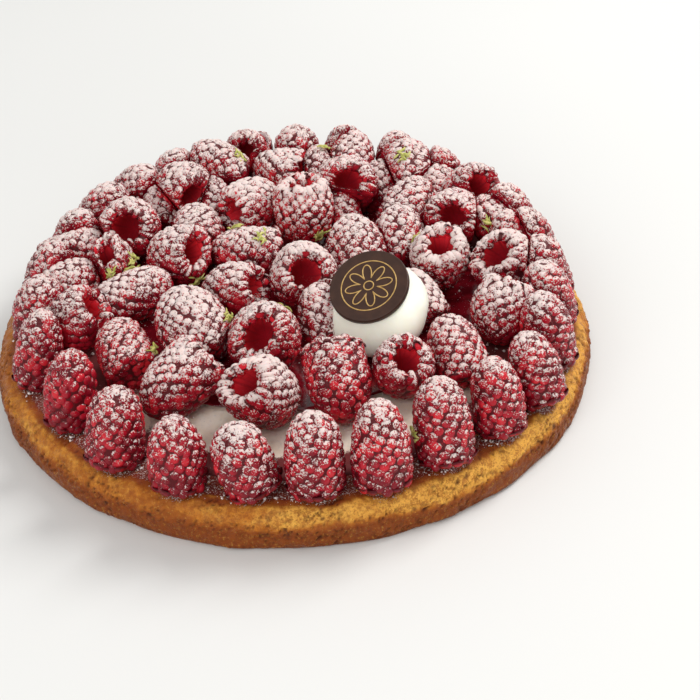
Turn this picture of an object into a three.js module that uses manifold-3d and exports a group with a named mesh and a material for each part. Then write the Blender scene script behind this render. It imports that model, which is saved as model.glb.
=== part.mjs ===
// Raspberry tart: a baked round base, a thin cream layer with raspberry coulis on it, some seventy
// raspberries set close together, and a dollop of whipped cream that carries a chocolate disc.
// Units are millimetres, +Z is up, and the origin is the centre of the underside.
import * as THREE from "three";
import { mergeVertices } from "three/addons/utils/BufferGeometryUtils.js";
import Module from "manifold-3d";

// Driving dimensions
const BASE_RADIUS = 105;
const BASE_HEIGHT = 15;
const FLAT_SIDE = 0.036; // share by which the tart is narrower on its flatter side
const FLAT_SIDE_HEADING = 5; // degrees from +X toward +Y
const BAND_HEIGHT = 8.6; // the side is nearly upright up to here, and rounded above
const SIDE_BULGE = 0.3; // how far the middle of that band stands out past its ends
const FOOT_ROUNDING = 1.3; // size of the rounded edge that the side stands on
const SHOULDER_WIDTH = 7.4; // from the side in to the level rim, over the rounded shoulder
const CRUST_WAVES = 0.5; // how far the side wanders in and out in broad waves
const CRUST_CRAGS = 0.7; // how far its crags stand out
const CRUST_LUMPS = 0.35; // how far they move up and down
const RIM_WIDTH = 17; // from the side in to the shallow well that holds the cream
const RIM_FALL = 0.3; // how far the level rim falls toward the well
const WELL_DEPTH = 3;
const CREAM_RISE = 1.5; // how far the cream stands above the rim
const CREAM_EDGE = 4; // width of its rounded edge
const CREAM_RIPPLE = 0.25; // how far the ripples in its top reach down, either side of their middle
const COULIS_RADIUS = 70;
const COULIS_PLACE = [-1, 13]; // the coulis lies off centre, so that cream shows in front
const COULIS_THICKNESS = 1;
const COULIS_EDGE = 2.5; // width of its rounded edge
const COULIS_WANDER = 1.7; // how far that edge wanders in and out
const TOUCH_GAP = 0.3; // kept between pieces that rest on each other
const SEAT_MARGIN = 8; // how far past the base the level of its rim is kept free of berries
const BERRY_SINK = 0.03; // share of a berry's height that is pressed into what it rests on
const DRUPELET_DEPTH = 0.08; // share of a berry's radius between the drupelets and the grooves
const BERRY_SHOULDER = 0.38; // where a berry is widest, as a share of its length from the mouth
const BERRY_BLUNTNESS = 2.4; // 2 gives an elliptical tip, more gives a blunter one
const OPEN_TAPER = 0.45; // how far an open berry narrows to its mouth
const CLOSED_TAPER = 0.26; // how far a closed one narrows to its foot
const FOOT_LEVEL = 0.9; // how far down a closed berry's axis its foot lies, as a share of half its length
const MOUTH_RADIUS = 0.5; // of an open berry's mouth, as a share of the berry's radius
const MOUTH_LEVEL = 0.02; // where the mouth's edge lies, as a share of the berry's length
const HOLLOW_WAIST = 0.3; // radius of the hollow below its mouth, as a share of the berry's radius
const WAIST_LEVEL = 0.44; // where that waist lies, as a share of the berry's length
const HOLLOW_DEPTH = 0.55; // as a share of the berry's length
const FULL_ROWS = [0.03, 0.24, 0.46, 0.68, 0.88]; // rows of drupelets from the mouth to the tip
const FULL_SIDES = 10; // points round each of these rows, every second one in a groove
const PLAIN_ROWS = [0.04, 0.32, 0.6, 0.84]; // the same for a berry that another one mostly hides
const PLAIN_SIDES = 8;
const DOLLOP_RADIUS = 17.3;
const DOLLOP_HEIGHT = 11; // from its widest level up to its top
const DOLLOP_PLACE = [27.8, -19];
const DOLLOP_MIDDLE = 29; // level of its widest part
const DOLLOP_SLOPE = 0.3; // rise of that level toward its high side
const DOLLOP_LIFTS = [-65, -32, 0, 24, 45, 68]; // its rings, in degrees below and above its widest level
const DOLLOP_FULLNESS = 0.8; // 1 gives elliptical sides, less gives fuller ones
const DOLLOP_WOBBLE = 0.035; // unevenness of its outline, as a share of its radius
const DISC_RADIUS = 13.8;
const DISC_THICKNESS = 2.2;
const DISC_EDGE = 0.4; // size of the bevel round both of its faces
const DISC_CENTRE = [25.4, -19.5, 40];
const DISC_TILT = 27; // degrees from level
const DISC_HEADING = 235; // compass of the side that it leans down to, in degrees from +X toward +Y
const ZEST_LENGTH = 5;
const ZEST_WIDTH = 1.5;
const ZEST_THICKNESS = 1;
const ZEST_ARCH = 1.2; // how far the middle of a shred is pulled up
const ZEST_DIP = -0.4; // level of its ends
const ZEST_SEAT = 0.95; // where it lies on a berry, as a share of the way out to its surface

const WELL_RADIUS = BASE_RADIUS - RIM_WIDTH;
const CREAM_RADIUS = WELL_RADIUS - 0.5;
const CREAM_TOP = BASE_HEIGHT + CREAM_RISE;
const SEED = 20771;

const COLOURS = {
  crust: 0xb9823f,
  cream: 0xe9dcc4,
  coulis: 0x4f0a14,
  berry: 0xa3162a,
  whipped: 0xf3efe2,
  chocolate: 0x3d231b,
};

// Each berry lies at a radius and an angle round the tart, in mm and degrees. Its tip points along a heading
// and a pitch. Then come its length and width, and how far it is lifted off the filling by those under it.
// "open" marks a berry whose hollow mouth is in view.
const RIM_BERRIES = [
  [86.5, 3, 180, 76, 25, 18, 0],
  [86.5, 15, 190, 76, 25, 18, 0],
  [87, 27, 210, 76, 25, 18, 0],
  [88.5, 39, 220, 76, 25, 18, 0],
  [89, 52, 230, 76, 25, 18, 0],
  [91, 64, 240, 76, 26, 18, 0],
  [91, 77, 260, 76, 26, 18, 0],
  [90, 89, 270, 76, 26, 20, 0],
  [92, 99, 280, 76, 25, 17, 0],
  [90, 109, 290, 76, 24, 17, 0],
  [91, 119, 300, 70, 25, 19, 0],
  [92, 130, 350, 50, 26, 19, 0],
  [91, 140, 340, 60, 25, 19, 0],
  [88.5, 153, 330, 70, 25, 18, 0],
  [88.5, 167, 345, 70, 25, 18, 0],
  [88, 182, 20, 76, 25, 19, 0],
  [90.5, 198.5, 10, 78, 29, 17, 0],
  [90, 215, 40, 78, 28, 18, 0],
  [92, 231, 60, 76, 27, 20, 0],
  [94, 246, 90, 78, 25, 19, 0],
  [92, 259, 150, 70, 25, 20, 0],
  [91, 273, 90, 80, 28, 20, 0],
  [93, 286, 100, 80, 30, 19.5, 0],
  [91, 300, 110, 76, 29, 20, 0],
  [92, 314, 120, 76, 27, 18, 0],
  [93, 326, 140, 74, 26, 18, 0],
  [89.5, 339, 150, 76, 28, 18, 0],
  [87, 352, 170, 76, 25, 18, 0],
];
const OUTER_BERRIES = [
  [74, 5, 55, -46, 25, 23, 1, "open"],
  [81.5, 15, 120, 40, 25, 18, 1],
  [80, 26, 150, 25, 23, 18, 2],
  [83, 38.5, 109, -39, 24, 21, 3, "open"],
  [80, 48, 90, 40, 22, 17, 1],
  [82, 58, 100, 30, 25, 21, 3],
  [82, 74, 80, 20, 23, 18, 4],
  [76, 83, 90, 40, 22, 17, 0],
  [74, 94, 144, -20, 25, 19, 2, "open"],
  [91, 101, 90, -28, 23, 17, 6.5, "open"],
  [82, 110, 150, 25, 26, 20, 3],
  [75.5, 122.5, 112, -12, 24, 22, 2, "open"],
  [77, 130, 95, 30, 20, 15, 0],
  [71, 146, 87, -35, 25, 23, 0.5, "open"],
  [85, 158, 10, 20, 25, 17, 1],
  [79.5, 171.5, 40, 0, 24, 18, 1, "open"],
  [77.5, 191.5, 170, -42, 25, 22, 0, "open"],
  [65, 207, 110, 15, 25, 20, 0],
  [65, 233, 210, -30, 28, 22, 0, "open"],
  [62, 260, 46, -50, 27, 24, 0, "open"],
  [58, 283.5, 280, -35, 28, 22, 0],
  [60.5, 305, 101, -53, 23, 21, 0, "open"],
  [66.5, 322, 108, 35, 26, 20, 0],
  [73, 343, 240, -50, 23, 22, 0.5, "open"],
  [67.5, 163, 75, -62, 20, 18, 0, "open"],
];
const INNER_BERRIES = [
  [52, 12, 92, -66, 22, 22, 0.5, "open"],
  [68, 32, 85, -39, 24, 22, 0.5, "open"],
  [46, 35, 90, 40, 24, 20, 0.5],
  [29, 42, 95, 45, 25, 23, 0],
  [64, 48, 60, 22, 23, 20, 1],
  [74, 65, 70, 20, 22, 17, 0],
  [51, 70, 90, 60, 20, 15, 0],
  [60.5, 71, 92, -42, 24, 23, 3, "open"],
  [44, 85, 275, -80, 25, 23, 0.5, "open"],
  [54, 106, 47, -12, 24, 21, 1.5, "open"],
  [69, 116, 95, 40, 20, 15, 0],
  [29, 127, 180, 8, 25, 19, 1],
  [53, 131.5, 95, 5, 24, 20, 0],
  [46.5, 153.5, 136, -34, 25, 22, 0.5, "open"],
  [55, 179, 20, 12, 27, 18, 1],
  [22, 184, 155, -22, 23, 20, 1, "open"],
  [42, 214, 125, 36, 29, 26, 0],
  [34, 252.5, 78, -42, 25, 25, 0, "open"],
  [18, 299, 100, 40, 22, 17, 0],
  [41.5, 346, 120, 30, 22, 19, 0],
  [4.5, 54, 101, -36, 25, 24, 0.5, "open"],
];

// Berries that are pressed together make one piece, in which the first one gives the name.
const PRESSED_TOGETHER = [
  ["rim_12", "rim_13"],
  ["outer_02", "rim_02"],
  ["outer_03", "rim_03"],
  ["outer_04", "rim_04"],
  ["outer_05", "rim_05"],
  ["outer_06", "rim_06", "inner_06"],
  ["outer_07", "rim_07"],
  ["outer_09", "outer_08"],
  ["outer_10", "rim_09"],
  ["outer_11", "rim_10"],
  ["outer_12", "outer_13", "inner_11"],
  ["outer_15", "rim_14"],
  ["outer_16", "rim_15", "outer_25"],
  ["inner_04", "inner_03"],
  ["inner_08", "inner_07"],
  ["inner_21", "inner_19"],
];

// Shreds of lime zest, each on one berry, toward a heading and a pitch from that berry's middle.
const ZEST = [
  ["outer_06", 250, 60],
  ["outer_11", 335, 35],
  ["outer_08", 60, 62],
  ["inner_12", 120, 60],
  ["inner_14", 300, -12],
  ["inner_17", 350, 22],
  ["outer_18", 330, 15],
  ["inner_15", 110, 40],
  ["rim_24", 205, -8],
  ["inner_01", 140, 26],
];

const wasm = await Module();
wasm.setup();

/** Repeatable random numbers from 0 to 1. */
function seeded(seed) {
  let state = seed >>> 0;
  return () => {
    state = (state * 1664525 + 1013904223) >>> 0;
    return state / 4294967296;
  };
}

/** Smooth unevenness round the tart, from -1 to 1, that closes on itself. */
function roundNoise(waves, seed) {
  const random = seeded(seed);
  const terms = waves.map((count) => [count, random() * 2 * Math.PI]);
  const wave = (angle, [count, phase]) => Math.sin(count * angle + phase);
  return (angle) => terms.reduce((sum, term) => sum + wave(angle, term), 0) / terms.length;
}

/** A unit vector from a heading and a pitch in degrees. */
function directionOf(heading, pitch) {
  const turn = THREE.MathUtils.degToRad(heading);
  const rise = THREE.MathUtils.degToRad(pitch);
  return new THREE.Vector3(Math.cos(turn) * Math.cos(rise), Math.sin(turn) * Math.cos(rise), Math.sin(rise));
}

/** A closed three.js geometry as a manifold-3d solid. */
function toSolid(geometry) {
  const bare = new THREE.BufferGeometry();
  bare.setAttribute("position", geometry.getAttribute("position").clone());
  if (geometry.index) bare.setIndex(geometry.index);
  const merged = mergeVertices(bare, 1e-4);
  const vertProperties = new Float32Array(merged.attributes.position.array);
  const triVerts = new Uint32Array(merged.index.array);
  return new wasm.Manifold(new wasm.Mesh({ numProp: 3, vertProperties, triVerts }));
}

/** A manifold-3d solid as a three.js geometry. */
function toGeometry(solid) {
  const { numProp, vertProperties, triVerts } = solid.getMesh();
  const points = [];
  for (let i = 0; i < vertProperties.length; i += numProp) {
    points.push(vertProperties[i], vertProperties[i + 1], vertProperties[i + 2]);
  }
  const geometry = new THREE.BufferGeometry();
  geometry.setAttribute("position", new THREE.Float32BufferAttribute(points, 3));
  geometry.setIndex(Array.from(triVerts));
  return geometry;
}

/** The largest body of a solid, without loose scraps and with sealed hollows filled. */
function mainBody(solid) {
  const bodies = solid.decompose();
  return bodies.reduce((best, body) => (body.volume() > best.volume() ? body : best));
}

/** A geometry from rings of points, with each ring closed and both ends closed to a point. */
function ringSkin(start, rings, end) {
  const points = [start, ...rings.flat(), end];
  const count = rings[0].length;
  const last = points.length - 1;
  const faces = [];
  const at = (ring, step) => 1 + ring * count + (step % count);
  for (let step = 0; step < count; step++) {
    faces.push(0, at(0, step + 1), at(0, step));
    faces.push(last, at(rings.length - 1, step), at(rings.length - 1, step + 1));
  }
  for (let ring = 0; ring + 1 < rings.length; ring++) {
    for (let step = 0; step < count; step++) {
      const corners = [at(ring, step), at(ring, step + 1), at(ring + 1, step + 1), at(ring + 1, step)];
      const [a, b, c, d] = corners;
      // The diagonal joins the two groove points, so that each drupelet stands alone.
      if ((ring + step) % 2 === 0) faces.push(a, b, d, b, c, d);
      else faces.push(a, b, c, a, c, d);
    }
  }
  const geometry = new THREE.BufferGeometry();
  geometry.setAttribute("position", new THREE.Float32BufferAttribute(points.flat(), 3));
  geometry.setIndex(faces);
  return geometry;
}

/** How far the tart's outline lies inside a true circle: 0 to a small negative share of its radius. */
function outOfRound(angle) {
  const facing = Math.cos(angle - THREE.MathUtils.degToRad(FLAT_SIDE_HEADING));
  return -FLAT_SIDE * Math.max(0, facing) ** 3;
}

/** A turned piece from [radius, height] points, which uneven(angle, point number) moves out and up. */
function turned(profile, segments, uneven = () => [0, 0]) {
  const geometry = new THREE.LatheGeometry(
    profile.map(([radius, height]) => new THREE.Vector2(radius, height)),
    segments,
  );
  geometry.rotateX(Math.PI / 2);
  const position = geometry.attributes.position;
  for (let i = 0; i < position.count; i++) {
    const radius = Math.hypot(position.getX(i), position.getY(i));
    if (radius < 1e-6) continue;
    const column = Math.floor(i / profile.length) % segments;
    const angle = (column / segments) * 2 * Math.PI;
    const [outward, upward] = uneven(angle, i % profile.length);
    position.setX(i, (radius + outward) * Math.cos(angle));
    position.setY(i, (radius + outward) * Math.sin(angle));
    position.setZ(i, position.getZ(i) + upward);
  }
  return geometry;
}

/** Height that a berry rests on at a place: coulis, cream or the base's rim. */
function seatHeight(x, y) {
  if (Math.hypot(x - COULIS_PLACE[0], y - COULIS_PLACE[1]) < COULIS_RADIUS) {
    return CREAM_TOP + COULIS_THICKNESS + 2 * TOUCH_GAP;
  }
  return (Math.hypot(x, y) < WELL_RADIUS ? CREAM_TOP : BASE_HEIGHT) + TOUCH_GAP;
}

/** The baked base: a nearly upright browned side, a rounded shoulder, a rim and a shallow well. */
function makeBase() {
  const shoulder = BASE_HEIGHT - BAND_HEIGHT;
  const bandEnd = BASE_RADIUS - SIDE_BULGE;
  const profile = [
    [0, 0],
    [bandEnd - FOOT_ROUNDING, 0],
    [bandEnd, FOOT_ROUNDING],
    [BASE_RADIUS, BAND_HEIGHT / 2],
    [bandEnd, BAND_HEIGHT],
    [BASE_RADIUS - SHOULDER_WIDTH * 0.22, BAND_HEIGHT + shoulder * 0.45],
    [BASE_RADIUS - SHOULDER_WIDTH * 0.51, BAND_HEIGHT + shoulder * 0.8],
    [BASE_RADIUS - SHOULDER_WIDTH, BASE_HEIGHT],
    [(BASE_RADIUS - SHOULDER_WIDTH + WELL_RADIUS) / 2, BASE_HEIGHT],
    [WELL_RADIUS, BASE_HEIGHT - RIM_FALL],
    [WELL_RADIUS, BASE_HEIGHT - WELL_DEPTH],
    [0, BASE_HEIGHT - WELL_DEPTH],
  ];
  const broad = roundNoise([2, 3, 5], SEED + 1);
  const crags = profile.map((point, row) => roundNoise([9 + row, 14, 19 + row, 27], SEED + 10 + row));
  const firstRaisedRow = 3;
  const lastSideRow = 7;
  const uneven = (angle, row) => {
    const inward = outOfRound(angle) * profile[row][0];
    if (row < 1 || row > lastSideRow) return [inward, 0];
    const outward = inward + CRUST_WAVES * broad(angle) + CRUST_CRAGS * crags[row](angle);
    const upward = row < firstRaisedRow ? 0 : CRUST_LUMPS * crags[row](angle + 1);
    return [outward, row === lastSideRow ? Math.min(upward, 0) : upward];
  };
  return turned(profile, 60, uneven);
}

/** The cream layer that fills the well, with a rounded edge and a slightly rippled top. */
function makeCream() {
  const floor = BASE_HEIGHT - WELL_DEPTH + TOUCH_GAP;
  const profile = [
    [0, floor],
    [CREAM_RADIUS, floor],
    [CREAM_RADIUS, BASE_HEIGHT],
    [CREAM_RADIUS - CREAM_EDGE * 0.3, BASE_HEIGHT + CREAM_RISE * 0.7],
    [CREAM_RADIUS - CREAM_EDGE, CREAM_TOP],
    [CREAM_RADIUS * 0.75, CREAM_TOP],
    [0, CREAM_TOP],
  ];
  const firstTopRow = 4;
  const ripple = roundNoise([6, 11, 17], SEED + 40);
  const uneven = (angle, row) => [
    outOfRound(angle) * profile[row][0],
    row < firstTopRow ? 0 : -CREAM_RIPPLE * (1 + ripple(angle + row)),
  ];
  return turned(profile, 36, uneven);
}

/** The thin coulis on the cream, with an uneven edge. */
function makeCoulis() {
  const lower = CREAM_TOP + TOUCH_GAP;
  const upper = lower + COULIS_THICKNESS;
  const profile = [
    [0, lower],
    [COULIS_RADIUS - COULIS_EDGE, lower],
    [COULIS_RADIUS - COULIS_EDGE * 0.7, lower + COULIS_THICKNESS * 0.6],
    [COULIS_RADIUS - COULIS_EDGE * 1.2, upper],
    [0, upper],
  ];
  const wander = roundNoise([3, 5, 8, 13], SEED + 50);
  return turned(profile, 36, (angle) => [COULIS_WANDER * wander(angle), 0]).translate(...COULIS_PLACE, 0);
}

/** All that lies under the berries, down to the floor, to press the berries' undersides to shape. */
function makeSeat() {
  const profile = [
    [0, 0],
    [BASE_RADIUS + SEAT_MARGIN, 0],
    [BASE_RADIUS + SEAT_MARGIN, BASE_HEIGHT + TOUCH_GAP],
    [WELL_RADIUS, BASE_HEIGHT + TOUCH_GAP],
    [WELL_RADIUS - CREAM_EDGE / 2, CREAM_TOP + TOUCH_GAP],
    [0, CREAM_TOP + TOUCH_GAP],
  ];
  const depth = COULIS_THICKNESS + 2 * TOUCH_GAP;
  const coulisSpace = new THREE.CylinderGeometry(COULIS_RADIUS, COULIS_RADIUS, 2 * depth, 36);
  coulisSpace.rotateX(Math.PI / 2).translate(...COULIS_PLACE, CREAM_TOP);
  const table = turned(profile, 40, (angle, row) => [outOfRound(angle) * profile[row][0], 0]);
  return toSolid(table).add(toSolid(coulisSpace));
}

/** A berry's radius as a share of its largest, from the mouth (0) to the tip (1). */
function berryOutline(along, taper) {
  if (along < BERRY_SHOULDER) return Math.sqrt(1 - taper * ((BERRY_SHOULDER - along) / BERRY_SHOULDER) ** 2);
  return Math.sqrt(Math.max(0, 1 - ((along - BERRY_SHOULDER) / (1 - BERRY_SHOULDER)) ** BERRY_BLUNTNESS));
}

/** A berry along +Z with its middle at the origin, its drupelets as points that stand out of the grooves. */
function makeBerry(length, width, { open = false, plain = false, grow = 0 }) {
  const around = plain ? PLAIN_SIDES : FULL_SIDES;
  const rows = plain ? PLAIN_ROWS : FULL_ROWS;
  const half = length / 2 + grow;
  const radius = width / 2 + grow;
  const ring = (share, along, bumpy, row) => {
    const points = [];
    for (let step = 0; step < around; step++) {
      const groove = bumpy && (row + step) % 2 === 0 ? DRUPELET_DEPTH : 0;
      const reach = radius * share * (1 - groove);
      const angle = (step / around) * 2 * Math.PI;
      points.push([reach * Math.cos(angle), reach * Math.sin(angle), half * (2 * along - 1)]);
    }
    return points;
  };
  const taper = open ? OPEN_TAPER : CLOSED_TAPER;
  const skin = rows.map((along, row) => ring(berryOutline(along, taper), along, true, row));
  const tip = [0, 0, half];
  if (!open) return ringSkin([0, 0, -half * FOOT_LEVEL], skin, tip);
  const waist = ring(HOLLOW_WAIST, WAIST_LEVEL, false, 0);
  const mouth = ring(MOUTH_RADIUS, MOUTH_LEVEL, false, 0);
  return ringSkin([0, 0, half * (2 * HOLLOW_DEPTH - 1)], [waist, mouth, ...skin], tip);
}

/** The pose of a berry: its middle, and the turn that carries +Z to its tip. */
function berryPose([radius, angle, heading, pitch, length, width, lift]) {
  const rise = THREE.MathUtils.degToRad(pitch);
  const halfHeight = Math.hypot((length / 2) * Math.sin(rise), (width / 2) * Math.cos(rise));
  const turn = THREE.MathUtils.degToRad(angle);
  const position = new THREE.Vector3(radius * Math.cos(turn), radius * Math.sin(turn), 0);
  position.z = seatHeight(position.x, position.y) + halfHeight * (1 - BERRY_SINK) + lift;
  const quaternion = new THREE.Quaternion().setFromUnitVectors(
    new THREE.Vector3(0, 0, 1),
    directionOf(heading, pitch),
  );
  return new THREE.Matrix4().compose(position, quaternion, new THREE.Vector3(1, 1, 1));
}

/** Every berry by name, with its numbers, its pose and its solid in the tart's frame. */
function layBerries() {
  const berries = new Map();
  const plainNames = PRESSED_TOGETHER.flatMap((names) => names.slice(1));
  const lay = (ringName, rows) => {
    rows.forEach((numbers, index) => {
      const name = `${ringName}_${String(index + 1).padStart(2, "0")}`;
      const [, , , , length, width, , mouth] = numbers;
      const pose = berryPose(numbers);
      const form = { open: mouth === "open", plain: plainNames.includes(name) };
      const shape = (options) => toSolid(makeBerry(length, width, options).applyMatrix4(pose));
      const space = shape({ plain: form.plain, grow: TOUCH_GAP });
      berries.set(name, { numbers, pose, solid: shape(form), space });
    });
  };
  lay("rim", RIM_BERRIES);
  lay("outer", OUTER_BERRIES);
  lay("inner", INNER_BERRIES);
  return berries;
}

/** The middle of a berry. */
function middleOf(berry) {
  return new THREE.Vector3().setFromMatrixPosition(berry.pose);
}

/** Where two berries press on each other, as a level along the line from the first's middle to the second's. */
function contactLevel(first, second, direction) {
  const common = first.solid.intersect(second.solid);
  const reach = (solid, sign) => {
    const { numProp, vertProperties } = solid.getMesh();
    let furthest = -Infinity;
    for (let i = 0; i < vertProperties.length; i += numProp) {
      const point = new THREE.Vector3().fromArray(vertProperties, i);
      furthest = Math.max(furthest, sign * point.dot(direction));
    }
    return sign * furthest;
  };
  if (common.volume() > 0) return (reach(common, 1) + reach(common, -1)) / 2;
  return (reach(first.solid, 1) + reach(second.solid, -1)) / 2;
}

/** Flattens berries against each other where they press together, with the touch gap between them. */
function pressBerries(berries, pieceOf) {
  const names = [...berries.keys()];
  const cuts = new Map(names.map((name) => [name, []]));
  names.forEach((name, index) => {
    for (const other of names.slice(index + 1)) {
      if (pieceOf(name) === pieceOf(other)) continue;
      const first = berries.get(name);
      const second = berries.get(other);
      const direction = middleOf(second).sub(middleOf(first));
      const reach = (first.numbers[4] + second.numbers[4]) / 2 + 1;
      if (direction.length() > reach) continue;
      direction.normalize();
      if (first.solid.minGap(second.solid, 1) >= TOUCH_GAP) continue;
      const level = contactLevel(first, second, direction);
      cuts.get(name).push([direction.clone().negate(), TOUCH_GAP / 2 - level]);
      cuts.get(other).push([direction, level + TOUCH_GAP / 2]);
    }
  });
  for (const [name, planes] of cuts) {
    const berry = berries.get(name);
    for (const [normal, offset] of planes) {
      berry.solid = berry.solid.trimByPlane(normal.toArray(), offset);
    }
  }
}

/** How far a berry's surface lies from its middle toward a direction, found by halving. */
function surfaceReach([, , heading, pitch, length, width, , mouth], toward) {
  const alongAxis = toward.dot(directionOf(heading, pitch));
  const acrossAxis = Math.sqrt(1 - alongAxis ** 2);
  const taper = mouth === "open" ? OPEN_TAPER : CLOSED_TAPER;
  let inner = 0;
  let outer = length;
  for (let halving = 0; halving < 12; halving++) {
    const reach = (inner + outer) / 2;
    const along = 0.5 + (reach * alongAxis) / length;
    const within = along > 0 && along < 1 && reach * acrossAxis < (width / 2) * berryOutline(along, taper);
    if (within) inner = reach;
    else outer = reach;
  }
  return inner;
}

/** A curl of zest: a thin bent strip that lies on a berry. */
function makeZest(random) {
  const half = ZEST_LENGTH / 2;
  const bend = new THREE.QuadraticBezierCurve3(
    new THREE.Vector3(-half, 0, ZEST_DIP),
    new THREE.Vector3(0, 1 + random(), ZEST_ARCH),
    new THREE.Vector3(half, 0, ZEST_DIP),
  );
  const section = new THREE.Shape();
  section.moveTo(-ZEST_WIDTH / 2, -ZEST_THICKNESS / 2);
  section.lineTo(ZEST_WIDTH / 2, -ZEST_THICKNESS / 2);
  section.lineTo(ZEST_WIDTH / 2, ZEST_THICKNESS / 2);
  section.lineTo(-ZEST_WIDTH / 2, ZEST_THICKNESS / 2);
  return new THREE.ExtrudeGeometry(section, { steps: 3, bevelEnabled: false, extrudePath: bend });
}

/** Lays each shred of zest on its berry. */
function addZest(berries) {
  const random = seeded(SEED + 70);
  for (const [name, heading, pitch] of ZEST) {
    const berry = berries.get(name);
    const toward = directionOf(heading, pitch);
    const reach = surfaceReach(berry.numbers, toward);
    const turn = new THREE.Quaternion().setFromUnitVectors(new THREE.Vector3(0, 0, 1), toward);
    const spin = new THREE.Quaternion().setFromAxisAngle(new THREE.Vector3(0, 0, 1), random() * Math.PI);
    const place = middleOf(berry).addScaledVector(toward, reach * ZEST_SEAT);
    const pose = new THREE.Matrix4().compose(place, turn.multiply(spin), new THREE.Vector3(1, 1, 1));
    berry.solid = mainBody(berry.solid.add(toSolid(makeZest(random).applyMatrix4(pose))));
  }
}

/** The dollop of cream: a low dome whose top slopes, flattened where it meets the filling. */
function makeDollop() {
  const around = 24;
  const high = THREE.MathUtils.degToRad(DISC_HEADING + 180);
  const bottom = seatHeight(...DOLLOP_PLACE);
  const wobble = roundNoise([2, 3, 5], SEED + 60);
  const pointAt = (angle, lift) => {
    const share = Math.cos(lift) ** DOLLOP_FULLNESS;
    const reach = DOLLOP_RADIUS * share * (1 + DOLLOP_WOBBLE * wobble(angle));
    const slope = DOLLOP_SLOPE * reach * Math.cos(angle - high);
    const middle = DOLLOP_MIDDLE + slope;
    const rise = lift > 0 ? DOLLOP_HEIGHT * Math.sin(lift) : (middle - bottom) * Math.sin(lift);
    const [x, y] = DOLLOP_PLACE;
    return [x + reach * Math.cos(angle), y + reach * Math.sin(angle), middle + rise];
  };
  const rings = DOLLOP_LIFTS.map((degrees) => {
    const lift = THREE.MathUtils.degToRad(degrees);
    return Array.from({ length: around }, (_, step) => pointAt((step / around) * 2 * Math.PI, lift));
  });
  const lowest = [...DOLLOP_PLACE, bottom];
  const highest = [...DOLLOP_PLACE, DOLLOP_MIDDLE + DOLLOP_HEIGHT];
  return ringSkin(lowest, rings, highest);
}

/** The chocolate disc along +Z, with slightly rounded edges, larger all round by grow. */
function makeDisc(grow = 0) {
  const radius = DISC_RADIUS + grow;
  const half = DISC_THICKNESS / 2 + grow;
  const profile = [
    [0, -half],
    [radius - DISC_EDGE, -half],
    [radius, DISC_EDGE - half],
    [radius, half - DISC_EDGE],
    [radius - DISC_EDGE, half],
    [0, half],
  ];
  return turned(profile, 32);
}

/** The pose of the chocolate disc. */
function discPose() {
  const normal = directionOf(DISC_HEADING, 90 - DISC_TILT);
  const centre = new THREE.Vector3(...DISC_CENTRE);
  const quaternion = new THREE.Quaternion().setFromUnitVectors(new THREE.Vector3(0, 0, 1), normal);
  return new THREE.Matrix4().compose(centre, quaternion, new THREE.Vector3(1, 1, 1));
}

/** A named mesh from a solid in the tart's frame, placed by its own position and rotation. */
function addMesh(group, name, solid, material, pose = new THREE.Matrix4()) {
  const geometry = toGeometry(solid).applyMatrix4(pose.clone().invert());
  geometry.computeVertexNormals();
  const mesh = new THREE.Mesh(geometry, material);
  mesh.name = name;
  pose.decompose(mesh.position, mesh.quaternion, mesh.scale);
  group.add(mesh);
}

/** The whole tart. */
function makeTart() {
  const tart = new THREE.Group();
  const material = (color, roughness) => new THREE.MeshStandardMaterial({ color, roughness, metalness: 0 });
  const crust = material(COLOURS.crust, 0.85);
  const cream = material(COLOURS.cream, 0.5);
  const coulis = material(COLOURS.coulis, 0.15);
  const berrySkin = material(COLOURS.berry, 0.4);
  const whipped = material(COLOURS.whipped, 0.45);
  const chocolate = material(COLOURS.chocolate, 0.35);

  addMesh(tart, "baked_base", toSolid(makeBase()), crust);
  addMesh(tart, "cream_layer", toSolid(makeCream()), cream);
  addMesh(tart, "raspberry_coulis", toSolid(makeCoulis()), coulis);

  const disc = discPose();
  const discSolid = toSolid(makeDisc().applyMatrix4(disc));
  const discSpace = toSolid(makeDisc(TOUCH_GAP).applyMatrix4(disc));
  addMesh(tart, "chocolate_disc", discSolid, chocolate, disc);

  const berries = layBerries();
  const pieceOf = (name) => PRESSED_TOGETHER.find((names) => names.includes(name))?.[0] ?? name;
  const seat = makeSeat();

  let dollop = toSolid(makeDollop()).subtract(discSpace);
  for (const berry of berries.values()) {
    dollop = dollop.subtract(berry.space);
  }
  addMesh(tart, "cream_dollop", mainBody(dollop.subtract(seat)), whipped);

  pressBerries(berries, pieceOf);
  addZest(berries);
  const pieces = new Map();
  for (const [name, berry] of berries) {
    const pressed = mainBody(berry.solid.subtract(seat).subtract(discSpace));
    const piece = pieces.get(pieceOf(name));
    pieces.set(pieceOf(name), piece ? piece.add(pressed) : pressed);
  }
  for (const [name, solid] of pieces) {
    if (solid.decompose().length > 1) throw new Error(`the berries of ${name} don't reach each other`);
    addMesh(tart, `raspberry_${name}`, solid, berrySkin, berries.get(name).pose);
  }
  return tart;
}

export default makeTart();
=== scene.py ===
"""Raspberry tart: the looks of a baked base, cream, coulis, berries, a dollop and a chocolate disc.

Lengths are worked out in millimetres, with +Z up and the origin at the centre of the underside. They are
turned into metres as each mesh is made.
"""

import itertools
import logging
import math
from collections.abc import Callable, Sequence
from dataclasses import dataclass, field
from enum import Enum

import bpy
import numpy as np
from mathutils import Matrix, Vector


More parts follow.
